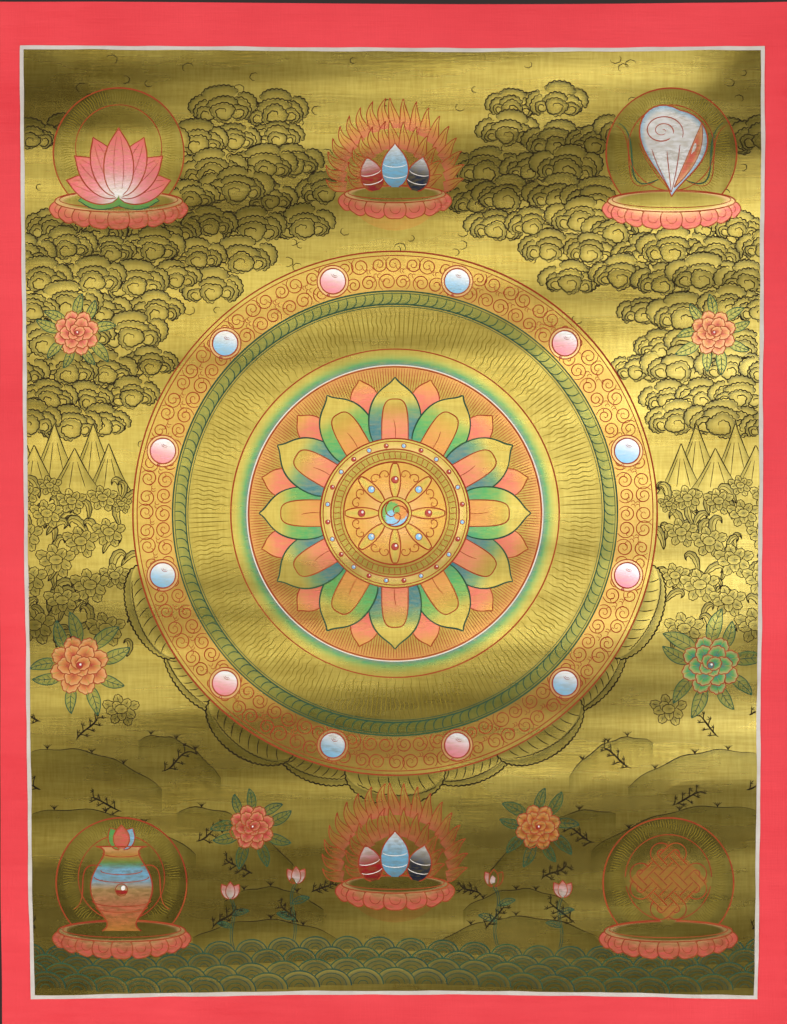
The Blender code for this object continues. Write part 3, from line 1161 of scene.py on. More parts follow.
def lotus_seat(centre, half_width, height=11.0, petals=9):
    """Round petals hang from an oval seat, the middle one in front and whole. Each has an inner
    line, and the seat's top is pale gold inside a double line."""
    centre = np.asarray(centre, float)
    inner = ring(half_width * 0.93, centre + (0, 1.0), squash=SEAT_SQUASH * 0.8)
    rim = ring(half_width, centre, squash=SEAT_SQUASH)
    draw("roundel_red_lines", inner, 0.5, taper=0)
    draw("roundel_red_lines", rim, 0.75, taper=0)
    wash("roundel_ground", disc_patch(half_width, centre, 9, 60, squash=SEAT_SQUASH),
         in_rings(*[tinted(OLIVE, 0.25)] * 8, *[tinted(PEACH, 0.7)] * 2), level=UNDER)
    reserve(rim)
    for number in sorted(range(petals), key=lambda n: abs(n - (petals - 1) / 2)):
        share = 2 * (number + 0.5) / petals - 1
        around = -np.pi / 2 + share * 1.28
        foot = centre + half_width * 0.95 * np.array([np.cos(around), SEAT_SQUASH * np.sin(around)])
        lean = np.pi + share * 1.05
        length = height * (1 - 0.22 * share**2)
        half = half_width / petals * (1.55 - 0.45 * share**2)
        fold = bezier(((-0.5, 0.35), (-0.5, 0.85), (0.5, 0.8), (0.45, 0.3)), 12) * (half, length)
        draw("roundel_red_lines", placed(fold, foot, lean), 0.35)
        patch = petal_patch(ROUND_SIDE, half, length, 7, 7)
        colours = graded(patch[..., 1] / length, (0, tinted(PEACH, 0.75)), (0.35, tinted(SALMON, 0.9)),
                         (0.8, tinted(ROSE, 0.95)), (1, tinted(SALMON, 0.9)))
        paint_shape("roundel_red_lines", placed(petal_line(ROUND_SIDE, half, length), foot, lean), 0.6,
                    "seats", placed(patch, foot, lean), colours, taper=0.2)


def roundel(centre, radius, sign):
    """A disc of rays with a sign on a lotus seat."""
    centre = np.asarray(centre, float)
    seat = centre - (0, radius * 0.74)
    sign(seat, radius / 30)
    lotus_seat(seat, radius * 0.98, radius * 0.27)
    inner = radius * 0.66
    inner_centre = centre + (0, radius * 0.08)
    circle("roundel_red_lines", inner, 0.6, inner_centre)
    rays(inner_centre, inner * 1.02, radius * 0.90, ROUNDEL_RAYS, "roundel_rays", 0.42, 0.4)
    circle("roundel_red_lines", radius, 0.9, centre)
    wash("roundel_ground", disc_patch(radius, centre, 10, 72),
         in_rings(*(tinted(OLIVE, strength) for strength in ROUNDEL_WASH)), level=UNDER)
    reserve_disc(centre, radius)


# %% [markdown]
# ## Lucky signs
# Vase, lotus, conch and endless knot are old signs that any painter knows. Each is a function of
# its foot and a scale, so that it can stand in any roundel. The knot's bands are drawn as two
# edges that are left out where the other band crosses over.

# %% Signs: each stands on 0, 0 and is drawn at a scale


VASE_SIDE = ((9, 0), (2, 4), (7, 8), (27, 16), (17, 31), (2, 33), (6, 39), (12, 39))
VASE_HEIGHT = 39
# Height and reach of each painted band, and place and wash of each colour up the vase
VASE_BANDS = ((11, 12.0), (14, 13.6), (25, 12.6), (28, 9.6), (36, 8.8))
VASE_COLOURS = (
    (0, tinted(ORANGE, 0.9)), (0.28, tinted(SALMON, 0.85)), (0.5, tinted(PEACH, 0.7)),
    (0.6, tinted(SKY, 0.9)), (0.74, tinted(SKY, 0.9)), (0.8, tinted(GREEN, 0.8)),
    (0.9, tinted(ORANGE, 0.8)), (1, tinted(PEACH, 0.85)),
)
VASE_BUDS = ((0, ROSE), (-0.5, SKY), (0.5, GREEN))


def vase(foot, scale):
    """A treasure vase: a turned outline with bands and a stone, closed by three buds."""
    foot = np.asarray(foot)
    side = bezier(VASE_SIDE, 30) * scale
    body = mirrored(side) + foot
    small_stone(foot + (0, 19 * scale), 2.8 * scale, CRIMSON, "roundel_red_lines")
    for height, reach in VASE_BANDS:
        band = ring(reach * scale, foot + (0, height * scale), np.pi, np.pi, 0.2)
        draw("roundel_red_lines", band, 0.5, taper=0)
    for hand in (-1, 1):
        ribbon = bezier(((hand * 9, 30), (hand * 24, 34), (hand * 13, 14), (hand * 22, 10)), 20) * scale
        draw("roundel_red_lines", ribbon + foot, 0.8)
    draw("roundel_red_lines", body, 0.85, taper=0)
    bud_size = (4.2 * scale, 11 * scale)
    for lean, colour in VASE_BUDS:
        at = (foot + (0, 38 * scale), lean)
        paint_shape("roundel_red_lines", placed(petal_line(BUD_SIDE, *bud_size), *at), 0.7,
                    "signs", placed(petal_patch(BUD_SIDE, *bud_size), *at), tinted(colour, 0.9), taper=0.1)
    grid = mirrored_patch(side)
    up = np.clip(grid[..., 1] / (VASE_HEIGHT * scale), 0, 1)
    wash("signs", grid + foot, graded(up, *VASE_COLOURS))
    reserve(body)


def open_lotus(foot, scale):
    """A lotus flower from the side: petals fan out, the middle one in front."""
    foot = np.asarray(foot) + (0, 3 * scale)
    for lean in (0, -0.42, 0.42, -0.85, 0.85, -1.3, 1.3):
        length = (31 - 4.5 * abs(lean)) * scale
        grid = petal_patch(BUD_SIDE, 7.8 * scale, length, 10, 7)
        for column in (2, 4):
            draw("roundel_red_lines", placed(grid[1:-2, column], foot, lean), 0.3)
        colours = graded(grid[..., 1] / length, (0, tinted(WHITE, 0.9)), (0.4, tinted(PINK, 0.9)),
                         (1, tinted(ROSE, 0.95)))
        outline = placed(petal_line(BUD_SIDE, 7.8 * scale, length), foot, lean)
        patch = placed(grid, foot, lean)
        paint_shape("roundel_red_lines", outline, 0.75, "signs", patch, colours, taper=0.2)
    leaf_size = (6 * scale, 19 * scale)
    for lean in (1.72, -1.72):
        paint_shape("petal_teal_lines", placed(petal_line(OGEE_SIDE, *leaf_size), foot, lean), 0.7,
                    "signs", placed(petal_patch(OGEE_SIDE, *leaf_size), foot, lean), tinted(GREEN, 0.8))


SHELL_RIGHT = ((0, -22), (7, -10), (24, -6), (20, 16), (4, 18))
SHELL_LEFT = ((4, 18), (-8, 26), (-22, 16), (-19, -2), (-4, -8), (0, -22))
SHELL_RIBS = ((-15, 3), (-9, 0), (-2, -1), (4, 2))
LIP_OUTER, LIP_INNER = ((14, 12), (17, -4), (1, -18)), ((1, -18), (7, -4), (14, 12))


def conch(foot, scale):
    """A conch: broad shoulders that narrow to a point, a winding top, ribs, a lip and ribbons."""
    middle = np.asarray(foot) + (0, 24 * scale)
    shell = np.concatenate([bezier(SHELL_RIGHT, 18), bezier(SHELL_LEFT, 20)]) * scale + middle
    lip = np.concatenate([bezier(LIP_OUTER, 12), bezier(LIP_INNER, 12)]) * scale + middle
    winding = curl(10.0, -0.4, 2.3, 1, 0.8, count=60) + (-4, 8.5)
    draw("roundel_red_lines", middle + winding * scale, 0.7)
    for start_u, start_v in SHELL_RIBS:
        rib = bezier(((start_u, start_v), (start_u * 0.7, -9), (0, -20)), 12)
        draw("roundel_red_lines", middle + rib * scale, 0.5)
    draw("roundel_red_lines", lip, 0.5)
    wash("signs", loop_patch(lip, (0, 0.6, 1)),
         in_rings(tinted(ROSE, 0.95), tinted(SALMON, 0.9), tinted(PEACH, 0.9)), JUST_ABOVE)
    pearl = in_rings(*[tinted(WHITE, 0.95)] * 2, tinted(WHITE, 0.9), tinted(SKY, 0.85))
    paint_shape("roundel_red_lines", shell, 0.9, "signs", loop_patch(shell), pearl, taper=0)
    for hand in (-1, 1):
        controls = ((hand * 6, -14), (hand * 26, -24), (hand * 12, 6), (hand * 24, 12))
        ribbon = bezier(controls, 24) * scale + middle
        draw("petal_teal_lines", ribbon, 1.0)
        draw("roundel_red_lines", ribbon + (hand * 1.9, -1.5), 0.6)


KNOT_PITCH, KNOT_BAND = 6.6, 1.55


def endless_knot(foot, scale):
    """Two crossed sets of bands on a turned grid. At each crossing the band beneath is broken."""
    centre = np.asarray(foot) + (0, 23 * scale)
    pitch, half = KNOT_PITCH * scale, KNOT_BAND * scale
    rails = np.array([-1.5, -0.5, 0.5, 1.5]) * pitch
    reach = rails[-1] + 1.5 * scale

    def band(path, gaps=()):
        shown = np.ones(len(path), bool)
        for gap in gaps:
            shown &= np.hypot(*(path - gap).T) > half * 1.3
        for side in (-1, 1):
            edge = path + side * half * sides_of(path)
            for run in np.split(np.arange(len(edge)), np.flatnonzero(~shown)):
                run = run[shown[run]]
                if len(run) > 2:
                    draw("roundel_red_lines", turned(edge[run], TURN / 8) + centre, 0.65, taper=0)

    line = np.linspace(-reach, reach, 60)
    for i, rail in enumerate(rails):
        beside = np.full(60, rail)
        odd = [other for j, other in enumerate(rails) if (i + j) % 2]
        even = [other for j, other in enumerate(rails) if (i + j) % 2 == 0]
        band(np.stack([line, beside], 1), [(other, rail) for other in odd])
        band(np.stack([beside, line], 1), [(rail, other) for other in even])
    for side in (-1, 1):
        for middle in (-pitch, pitch):
            band(ring(pitch / 2, (side * reach, middle), -side * TURN / 4, TURN / 2, step=0.6))
            band(ring(pitch / 2, (middle, side * reach), (side - 1) * TURN / 4, TURN / 2, step=0.6))
    corner = reach + pitch * 0.5 + half
    diamond = turned(np.array([(-1, -1), (1, -1), (1, 1), (-1, 1)]) * corner * 0.94, TURN / 8) + centre
    share = np.linspace(-1, 1, 10)
    grid = turned(np.stack(np.meshgrid(share, share), -1) * (reach + half), TURN / 8) + centre
    wash("signs", grid, tinted(ORANGE, 0.6))
    reserve(diamond)


# %% Draw the roundels
ROUNDELS = (
    ((-178, 238), open_lotus), ((178, 238), conch), ((-176, -232), vase), ((176, -232), endless_knot),
)
for centre, sign in ROUNDELS:
    roundel(centre, ROUNDEL_RADIUS, sign)
print("roundels:", len(ROUNDELS))

# %% [markdown]
# ## Flaming jewels
# Above and below the wheel stand three jewels on a lotus, wrapped in flames. A flame is a tongue
# with an S-shaped spine; a fan of them, the short ones in front, makes the blaze.

# %% Jewels, flames and seat


def drop(centre, half_width, height, colour, lean=0.0):
    """An upright jewel with a pointed top and pale bands."""
    grid = petal_patch(BUD_SIDE, half_width, height, 9, 7)
    for share in (0.3, 0.55):
        band = ring(half_width * 0.8, (0, height * share), np.pi * 1.1, np.pi * 0.8, 0.35)
        draw("wheel_white_lines", placed(band, centre, lean), 0.45)
    colours = graded(grid[..., 1] / height, (0, tinted(colour * 0.6, 1)), (0.5, tinted(colour, 1)),
                     (1, tinted(WHITE, 0.95)))
    paint_shape("flame_lines", placed(petal_line(BUD_SIDE, half_width, height), centre, lean), 0.8,
                "signs", placed(grid, centre, lean), colours, taper=0.1)


def flame(centre, angle, length, width, hand):
    """A tongue of fire: two S-curves that meet in a hooked point."""
    right = bezier(((1, 0), (1.5, 0.4), (-0.6, 0.6), (hand, 1)), 14) * (width, length)
    left = bezier(((-1, 0), (-1.3, 0.5), (-1.5, 0.7), (hand, 1)), 14) * (width, length)
    outline = placed(np.concatenate([right, left[::-1]]), centre, angle)
    draw("flame_lines", placed((right + left)[2:11] / 2, centre, angle), 0.4)
    grid = np.stack([right + (left - right) * share for share in np.linspace(0, 1, 4)], 1)
    up = np.linspace(0, 1, 14)[:, None] * np.ones((1, 4))
    colours = graded(up, (0, tinted(ROSE, 0.75)), (0.5, tinted(ORANGE, 0.55)), (1, tinted(GOLD, 0.1)))
    paint_shape("flame_lines", outline, 0.6, "signs", placed(grid, centre, angle), colours, taper=0.3)


# Reach and length as shares of the blaze's size, and number of flames, in each row
FLAME_ROWS = ((0.50, 0.42, 13), (0.84, 0.46, 19))


def flaming_jewels(centre, size):
    """Three jewels on a lotus seat inside a blaze."""
    centre = np.asarray(centre, float)
    drop(centre, size * 0.26, size * 0.75, SKY)
    drop(centre + (-size * 0.33, -size * 0.06), size * 0.22, size * 0.6, CRIMSON, 0.25)
    drop(centre + (size * 0.33, -size * 0.06), size * 0.22, size * 0.6, NAVY, -0.25)
    lotus_seat(centre + (0, -size * 0.12), size * 0.86, size * 0.28, 7)
    glow = centre + (0, size * 0.16)
    for reach, length, count in FLAME_ROWS:
        for number in range(count):
            angle = np.pi * (-0.06 + 1.12 * number / (count - 1))
            tall = size * length * (0.85 + 0.3 * np.sin(angle))
            flame(glow + size * reach * heading(angle), angle - np.pi / 2 + 0.35 * np.cos(angle), tall,
                  size * 0.085, 1 if np.cos(angle) < 0 else -1)
    wash("roundel_ground", disc_patch(size * 0.9, glow, 8, 48), tinted(ORANGE, 0.35), level=UNDER)
    reserve_disc(glow, size * 0.88)


flaming_jewels((0, 216), 38)
flaming_jewels((0, -228), 40)

# %% [markdown]
# ## Flowers and leaves
# Peonies fill the sides of the wheel. A peony is rings of scalloped petals around a dark heart,
# the inner ones in front. Long leaves with a curved midrib stand behind it. Lotus leaves roll
# over along the wheel's lower edge.

# %% Peonies and leaves


def scalloped(size, bumps, squash=0.72, depth=0.16, count=72):
    """A closed loop of rounded bumps: its radius rises and falls as the sine's absolute value."""
    angle = np.linspace(0, TURN, count)
    radius = size * (1 - depth + depth * np.abs(np.sin(bumps * angle / 2)))
    return np.stack([radius * np.cos(angle), squash * radius * np.sin(angle)], 1)


# Reach and petal size as shares of the flower's size, number of petals, and their shift
PEONY_RINGS = ((0.16, 0.30, 4, 0.3), (0.45, 0.40, 6, 0.0), (0.72, 0.42, 8, 0.4))


def peony(centre, size, colour, deep):
    """Three rings of scalloped petals, each paler towards its frilled edge."""
    centre = np.asarray(centre, float)
    small_stone(centre, size * 0.13, deep, "flower_lines")
    colours = in_rings(tinted(deep, 0.95), tinted(colour, 0.95), tinted(colour * 0.6 + PEACH * 0.4, 0.9),
                       tinted(PEACH, 0.75))
    for reach, petal_size, count, shift in PEONY_RINGS:
        for number in range(count):
            angle = TURN * (number + shift) / count
            at = centre + size * reach * heading(angle)
            outline = placed(scalloped(size * petal_size, 9, 0.86, 0.13, 50), at, angle)
            patch = loop_patch(outline[::2])
            paint_shape("flower_lines", outline, 0.6, "flowers", patch, colours, taper=0.1)


LEAF_TONE = OLIVE * 0.6 + GREEN * 0.4


def leaf(foot, angle, length, bend, tone=LEAF_TONE, strength=0.75):
    """A long leaf: a midrib that bends aside, a wavy edge and slanting veins."""
    rib = bezier(((0, 0), (0, length * 0.4), (bend * 0.5, length * 0.8), (bend, length)), 20)
    share = np.linspace(0, 1, 20)
    half = length * 0.17 * np.sin(np.pi * share**0.8) * (1 + 0.10 * np.abs(np.sin(9 * np.pi * share)))
    sideways = sides_of(rib) * half[:, None]
    outline = placed(np.concatenate([rib + sideways, (rib - sideways)[::-1]]), foot, angle)
    draw("leaf_lines", outline, 0.55, taper=0.1)
    draw("leaf_lines", placed(rib, foot, angle), 0.5)
    for at in range(4, 17, 3):
        for side in (-1, 1):
            vein = np.stack([rib[at], rib[at + 2] + side * 0.8 * sideways[at + 2]])
            draw("leaf_lines", placed(vein, foot, angle), 0.35)
    grid = np.stack([rib + sideways * part for part in (-1, -0.4, 0.4, 1)], 1)
    colours = np.stack([tinted(tone, strength * part) for part in (1, 0.45, 0.45, 1)])
    wash("flowers", placed(grid, foot, angle), colours[None])
    reserve(outline)


SPRAY_LEAVES = 9


def flower_spray(centre, size, colour, deep, side):
    """A peony with leaves that open round it like a fan."""
    peony(centre, size, colour, deep)
    for number in range(SPRAY_LEAVES):
        angle = TURN * (number + 0.3) / SPRAY_LEAVES
        foot = np.asarray(centre) + size * 0.7 * heading(angle)
        leaf(foot, angle - TURN / 4 + chance.uniform(-0.2, 0.2), size * chance.uniform(1.1, 1.5),
             side * size * 0.3 * (1 if number % 2 else -1))


# Place, size, petal colour, heart colour and the way the leaves bend
SPRAYS = (
    ((-203, -92), 17, ORANGE * 0.8 + ROSE * 0.2, CRIMSON, 1),
    ((203, -92), 17, GREEN, TEAL, -1),
    ((-92, -196), 13, ROSE, CRIMSON, 1),
    ((92, -196), 13, ORANGE, CRIMSON, -1),
    ((-205, 122), 13, SALMON, CRIMSON, -1),
    ((205, 122), 13, ORANGE * 0.6 + SALMON * 0.4, CRIMSON, 1),
)
for centre, size, colour, deep, side in SPRAYS:
    flower_spray(centre, size, colour, deep, side)

# %% [markdown]
# ## Rolled leaves
# The leaves under the wheel follow its rim, so they are worked out in the wheel's own terms: an
# angle along the rim and a height above it. A plain outline bent to the curve would do as well,
# but this way the veins bend with the leaf.

# %% Rolled lotus leaves under the wheel


def rolled_leaf(angle, spread, depth, lean):
    """A leaf that rolls over along the wheel's rim. Its frilled edge rises and falls along the
    rim; a second frilled line is the roll's inner edge, and curved veins run up to it."""
    share = np.linspace(-1, 1, 34)
    height = depth * (1 - share**2) ** 0.55

    def at(part, raised):
        radius = RIM + raised
        around = angle + spread * part
        return np.stack([radius * np.cos(around), radius * np.sin(around)], -1) + WHEEL

    edge = at(share, height)
    roll = at(share[4:-4] + 0.03 * lean, height[4:-4] * (0.66 + 0.10 * lean * share[4:-4]))
    for part in np.linspace(-0.74, 0.66, 8):
        steps = np.linspace(0.04, 0.60, 8)
        vein = at(part + lean * 0.30 * steps**1.8, depth * (1 - part**2) ** 0.55 * steps)
        draw("land_lines", vein, 0.62, taper=0.7)
    draw("land_lines", bumpy(roll, 3.0, 0.6), 0.65, step=0.9)
    draw("land_lines", bumpy(edge, 3.4, 0.9), 0.95, taper=0.2, step=0.9)
    rows = np.array([0.0, 0.3, 0.62, 0.72, 1.0])[:, None]
    wash("leaves", at(np.broadcast_to(share, (5, 34)), rows * height),
         in_rings(tinted(OLIVE, 0.72), tinted(OLIVE, 0.3), tinted(GOLD, 0.0), tinted(OLIVE * 0.8, 0.75),
                  tinted(OLIVE, 0.35)))
    reserve(np.concatenate([edge, at(share[::-1], -2.0 + 0 * share)]))


ROLLED_LEAVES, LEAF_PITCH = 9, 0.295
for number in sorted(range(ROLLED_LEAVES), key=lambda n: n % 2):
    from_middle = number - ROLLED_LEAVES // 2
    depth = 19 - 6 * (number % 2) - abs(from_middle)
    rolled_leaf(-np.pi / 2 + from_middle * LEAF_PITCH, (0.19, 0.165)[number % 2], depth, (-1) ** number)
print("sprays:", len(SPRAYS))

# %% [markdown]
# ## Land, water and sky
# The open ground is mostly bare gold. A few long hills cross it, each a crest line with a dark
# wash below. Little twigs and tufts mark the slopes, peaks and bushes stand at the sides, waves
# roll along the foot, and clouds fill the corners around the wheel's upper half.

# %% Waves


def wave(centre, size, rings=4):
    """A round-backed wave: arcs inside one another over a pale crest."""
    for number in range(1, rings):
        draw("wave_lines", ring(size * (1 - number / rings), centre, 0, np.pi, 0.8), 0.5, step=1.7)
    arch = ring(size, centre, 0, np.pi, 0.8)
    draw("wave_lines", arch, 0.85, taper=0.1, step=1.6)
    angle = np.linspace(0, np.pi, 13)
    fan = np.stack([np.cos(angle), 0.8 * np.sin(angle)], 1) * size
    shades = in_rings(tinted(OLIVE * 0.4, 0.65), tinted(OLIVE * 0.5, 0.55),
                      tinted(TEAL * 0.3 + OLIVE * 0.35, 0.62), tinted(GOLD, 0.2))
    wash("water", centre + np.array([0, 0.5, 0.78, 1.0])[:, None, None] * fan, shades)
    reserve(np.concatenate([arch, np.array([(-size, -size), (size, -size)]) + centre]))


WAVE_ROWS, WAVES_ASIDE = 4, 12
WAVE_PITCH, WAVE_FOOT, WAVE_RISE, WAVE_SIZE, SWELL = 20.5, -300, 7.4, 13.0, 3.25
for row in range(WAVE_ROWS):
    for number in range(-WAVES_ASIDE, WAVES_ASIDE + 1):
        u = (number + 0.5 * (row % 2)) * WAVE_PITCH
        v = WAVE_FOOT + row * WAVE_RISE + SWELL * np.cos(number * 0.42 + row * 0.3)
        wave(np.array([u, v]), WAVE_SIZE - row)

# %% [markdown]
# ## Twigs, plants and hills
# Small dark growth gives the bare gold its scale. The twigs are drawn before the hills, because
# they stand in front of them. Seeded chance bends each one a little, and every run draws the same.

# %% Twigs and tufts


TWIG_SHOOTS = 8


def twig(foot, angle, length):
    """A bare twig: a bent stem whose side shoots end in little forks."""
    bend = chance.uniform(-0.25, 0.25) * length
    stem = bezier(((0, 0), (bend, length * 0.35), (-bend, length * 0.7), (bend * 0.6, length)), 18)
    draw("twig_lines", placed(stem, foot, angle), 1.15, taper=0.75, step=1.5)
    for number in range(TWIG_SHOOTS):
        side = 1 if number % 2 else -1
        reach = side * length * chance.uniform(0.12, 0.24)
        controls = ((0, 0), (reach * 0.3, length * 0.10), (reach, length * 0.13))
        shoot = bezier(controls, 6) + stem[1 + 2 * number]
        draw("twig_lines", placed(shoot, foot, angle), 0.7, taper=0.6)
        for lean in (-0.7, 0.1, 0.9):
            tick = shoot[-2] + turned(np.array([[0, 0], [0, chance.uniform(1.6, 3.0)]]), lean)
            draw("twig_lines", placed(tick, foot, angle), 0.6, taper=0.8, step=1.6)


def tuft(foot, size=3.2):
    """Five blades of grass."""
    for lean in (-0.9, -0.45, 0.0, 0.45, 0.9):
        blade = bezier(((0, 0), (-lean * 0.2 * size, size * 0.6), (-lean * size, size)), 5)
        draw("twig_lines", placed(blade, foot), 0.4, taper=0.8)


# Place of the foot, lean and length
TWIGS = (
    (-118, -262, 0.9, 22), (-62, -258, -0.8, 18), (58, -262, 0.7, 20), (116, -258, -0.9, 22),
    (-228, -172, -0.9, 26), (-150, -160, 0.9, 24), (226, -172, 0.9, 26), (152, -158, -0.9, 24),
    (-128, -205, 1.0, 22), (128, -206, -1.0, 22), (-232, -262, -0.6, 18), (230, -262, 0.6, 18),
    (-205, -140, 0.8, 22), (208, -138, -0.7, 22), (-228, -128, -1.0, 18), (228, -124, 1.0, 18),
    (-92, -226, -1.1, 20), (94, -230, 1.1, 20), (-176, -186, -1.1, 22), (178, -182, 1.1, 22),
    (-54, -238, 1.2, 16), (56, -240, -1.2, 16), (-238, -214, -1.0, 18), (238, -210, 1.0, 18),
    (-122, -288, 1.2, 18), (124, -286, -1.2, 18), (-20, -284, 1.2, 16), (26, -286, -1.2, 16),
)
for u, v, angle, length in TWIGS:
    twig((u, v), -angle, length)

# %% Lotus plants in the water


BUD_SIZE = (3.4, 11)


def lotus_plant(foot, height, bend):
    """A bud on a bent stem with two leaves."""
    stem = bezier(((0, 0), (bend, height * 0.4), (-bend, height * 0.7), (bend * 0.4, height)), 20) + foot
    patch = petal_patch(BUD_SIDE, *BUD_SIZE, 6, 5)
    colours = graded(patch[..., 1] / BUD_SIZE[1], (0, tinted(WHITE, 0.85)), (1, tinted(ROSE, 0.95)))
    for lean in (0, -0.55, 0.55):
        bud = placed(petal_line(BUD_SIDE, *BUD_SIZE), stem[-1], lean)
        paint_shape("flower_lines", bud, 0.55, "flowers", placed(patch, stem[-1], lean), colours, taper=0.1)
    for at, side in ((7, -1), (12, 1)):
        leaf(stem[at], -side * 1.0, height * 0.30, side * 3, GREEN * 0.6 + TEAL * 0.4, 0.85)
    for side in (-0.5, 0.5):
        draw("leaf_lines", stem + side * 1.3 * sides_of(stem), 0.45, taper=0.2)


LOTUS_PLANTS = ((-66, -272, 40, 6), (-104, -274, 32, -5), (66, -272, 38, -6), (106, -274, 33, 5))
for u, v, height, bend in LOTUS_PLANTS:
    lotus_plant(np.array([u, v]), height, bend)

# %% Hills


HILL_DEPTH = 17.0


def hill(start, end, height):
    """A long low hill: its crest is a chord raised by half a sine and a small ripple, and the
    wash under it fades downwards."""
    share = np.linspace(0, 1, max(12, int(np.hypot(*np.subtract(end, start)) / 4)))
    crest = np.asarray(start) + share[:, None] * np.subtract(end, start)
    crest[:, 1] += height * np.sin(np.pi * share) ** 0.8 + 0.7 * np.sin(share * 23 + start[0])
    draw("land_lines", crest, 0.55, taper=0.7)
    for part in (0.22, 0.5, 0.74):
        tuft(crest[int(part * (len(crest) - 1))])
    below = np.array([0, 0.2, 0.5, 1.0])[:, None, None] * (0, -HILL_DEPTH)
    wash("land", crest + below, in_rings(tinted(OLIVE * 0.8, 0.62), tinted(OLIVE, 0.42),
                                         tinted(OLIVE, 0.16), tinted(OLIVE, 0.0)))
    reserve(np.concatenate([crest, crest[::-1] * (1, 0) + (0, min(start[1], end[1]) - 3)]))


# Start, end and height of each crest, the nearest first
HILLS = (
    ((-130, -268), (-30, -272), 14), ((28, -270), (132, -268), 15), ((-110, -244), (-46, -250), 12),
    ((44, -250), (112, -246), 12), ((-240, -190), (-128, -214), 15), ((126, -212), (240, -188), 15),
    ((-140, -186), (-62, -226), 16), ((60, -226), (142, -188), 16), ((-240, -150), (-150, -172), 13),
    ((150, -170), (240, -152), 13), ((-165, -140), (-112, -165), 12), ((112, -163), (166, -142), 12),
)
for start, end, height in HILLS:
    hill(start, end, height)

# %% [markdown]
# ## Peaks and bushes
# The sides of the picture are crowded with leaves. A bush sets its leaves out by the golden
# angle, which never lines them up, and curled fronds fill the gaps between bushes.

# %% Mountains and bushes


def mountain(foot, half_width, height):
    """A steep peak with hollow sides and a few folds that hang from its top."""
    size = (half_width, height)
    side = bezier(((0, 1), (0.30, 0.62), (0.6, 0.25), (1, 0)), 16) * size
    for lean in (-0.5, -0.15, 0.3):
        fold = bezier(((lean * 0.3, 0.7), (lean * 0.7, 0.45), (lean * 1.2, 0.15)), 12) * size
        draw("land_lines", fold + foot, 0.45)
    across = np.abs(np.linspace(-1, 1, 9))[None] * np.ones((16, 1))
    colours = graded(across, (0, tinted(GOLD, 0.05)), (0.6, tinted(OLIVE, 0.2)), (1, tinted(OLIVE, 0.6)))
    outline = np.concatenate([(side * (-1, 1))[::-1], side]) + foot
    paint_shape("land_lines", outline, 0.65, "land", mirrored_patch(side) + foot, colours)


BUSH_LEAVES, GOLDEN_SHARE = 11, 0.382


def bush(centre, size):
    """A round bush: frilled leaves set out by the golden angle, the middle ones in front."""
    colours = in_rings(*(tinted(OLIVE * 0.9, strength) for strength in (0.8, 0.4, 0.2)))
    for number in range(BUSH_LEAVES):
        angle = number * TURN * GOLDEN_SHARE
        at = centre + size * 0.8 * np.sqrt(number / BUSH_LEAVES) * heading(angle) * (1, 0.8)
        outline = placed(scalloped(size * 0.36, 8, 0.72, 0.15, 40), at, angle)
        draw("land_lines", np.stack([at, at + size * 0.22 * heading(angle)]), 0.4)
        paint_shape("land_lines", outline, 0.5, "land", loop_patch(outline[::4], (0, 0.6, 1.0)), colours,
                    taper=0.1, step=0.9)


def frond(foot, angle, length, hand):
    """A leaf that curls over at its tip: a bent rib with a lobed edge on both sides, washed dark
    along the side it curls away from."""
    rib = bezier(((0, 0), (0, 0.5), (hand * 0.1, 1.1), (hand * 0.7, 0.95), (hand * 0.5, 0.55)), 20) * length
    share = np.linspace(0, 1, 20)
    half = length * 0.15 * np.sin(np.pi * share**0.75) * (0.8 + 0.3 * np.abs(np.sin(5.5 * np.pi * share)))
    sideways = sides_of(rib) * half[:, None]
    outline = placed(np.concatenate([rib + sideways, (rib - sideways)[::-1]]), foot, angle)
    draw("land_lines", placed(rib, foot, angle), 0.4)
    grid = np.stack([rib + sideways * part for part in (hand, 0, -hand)], 1)
    colours = np.stack([tinted(OLIVE * 0.85, strength) for strength in (0.9, 0.35, 0.15)])[None]
    paint_shape("land_lines", outline, 0.6, "land", placed(grid, foot, angle), colours, taper=0.1)


# Place and size of each bush, and place, half width and height of each peak, at the right side
BUSHES = (
    (176, -120, 12), (232, -66, 14), (214, -50, 12), (186, -68, 13), (236, -36, 13), (196, -40, 13),
    (218, -24, 13), (180, -34, 10), (238, -8, 12), (202, -12, 12), (224, 6, 11), (184, -6, 11),
    (208, 14, 10), (238, 18, 10), (188, 16, 10), (176, 12, 7), (222, 24, 8),
)
MOUNTAINS = (
    (232, 16, 20, 34), (206, 18, 19, 30), (184, 18, 16, 33), (219, 22, 19, 42), (194, 24, 18, 40),
    (241, 22, 15, 44),
)
FRONDS, FROND_LOW, FROND_HIGH = 44, (172, -92), (238, 16)
for side in (-1, 1):
    for place_u, place_v, size in BUSHES:
        bush(np.array([side * place_u, place_v]), size)
    for place_u, place_v in chance.uniform(FROND_LOW, FROND_HIGH, (FRONDS, 2)):
        frond(np.array([side * place_u, place_v]), chance.uniform(-0.7, 0.7), chance.uniform(11, 17),
              (-1) ** round(place_u))
    for place_u, place_v, half_width, height in MOUNTAINS:
        mountain(np.array([side * place_u, place_v]), half_width, height)

# %% [markdown]
# ## Clouds
# A painted cloud is a few curls with scalloped edges and banks that rise behind them. Drawing it
# from the front to the back makes the overlaps by itself: each curl reserves its place, and a
# bank shows only where nothing stands before it.

# %% Clouds
BUMP, BUMP_HEIGHT = 3.1, 1.05
CLOUD_SQUASH = 0.8
CLOUD_WASH = OLIVE * 0.8


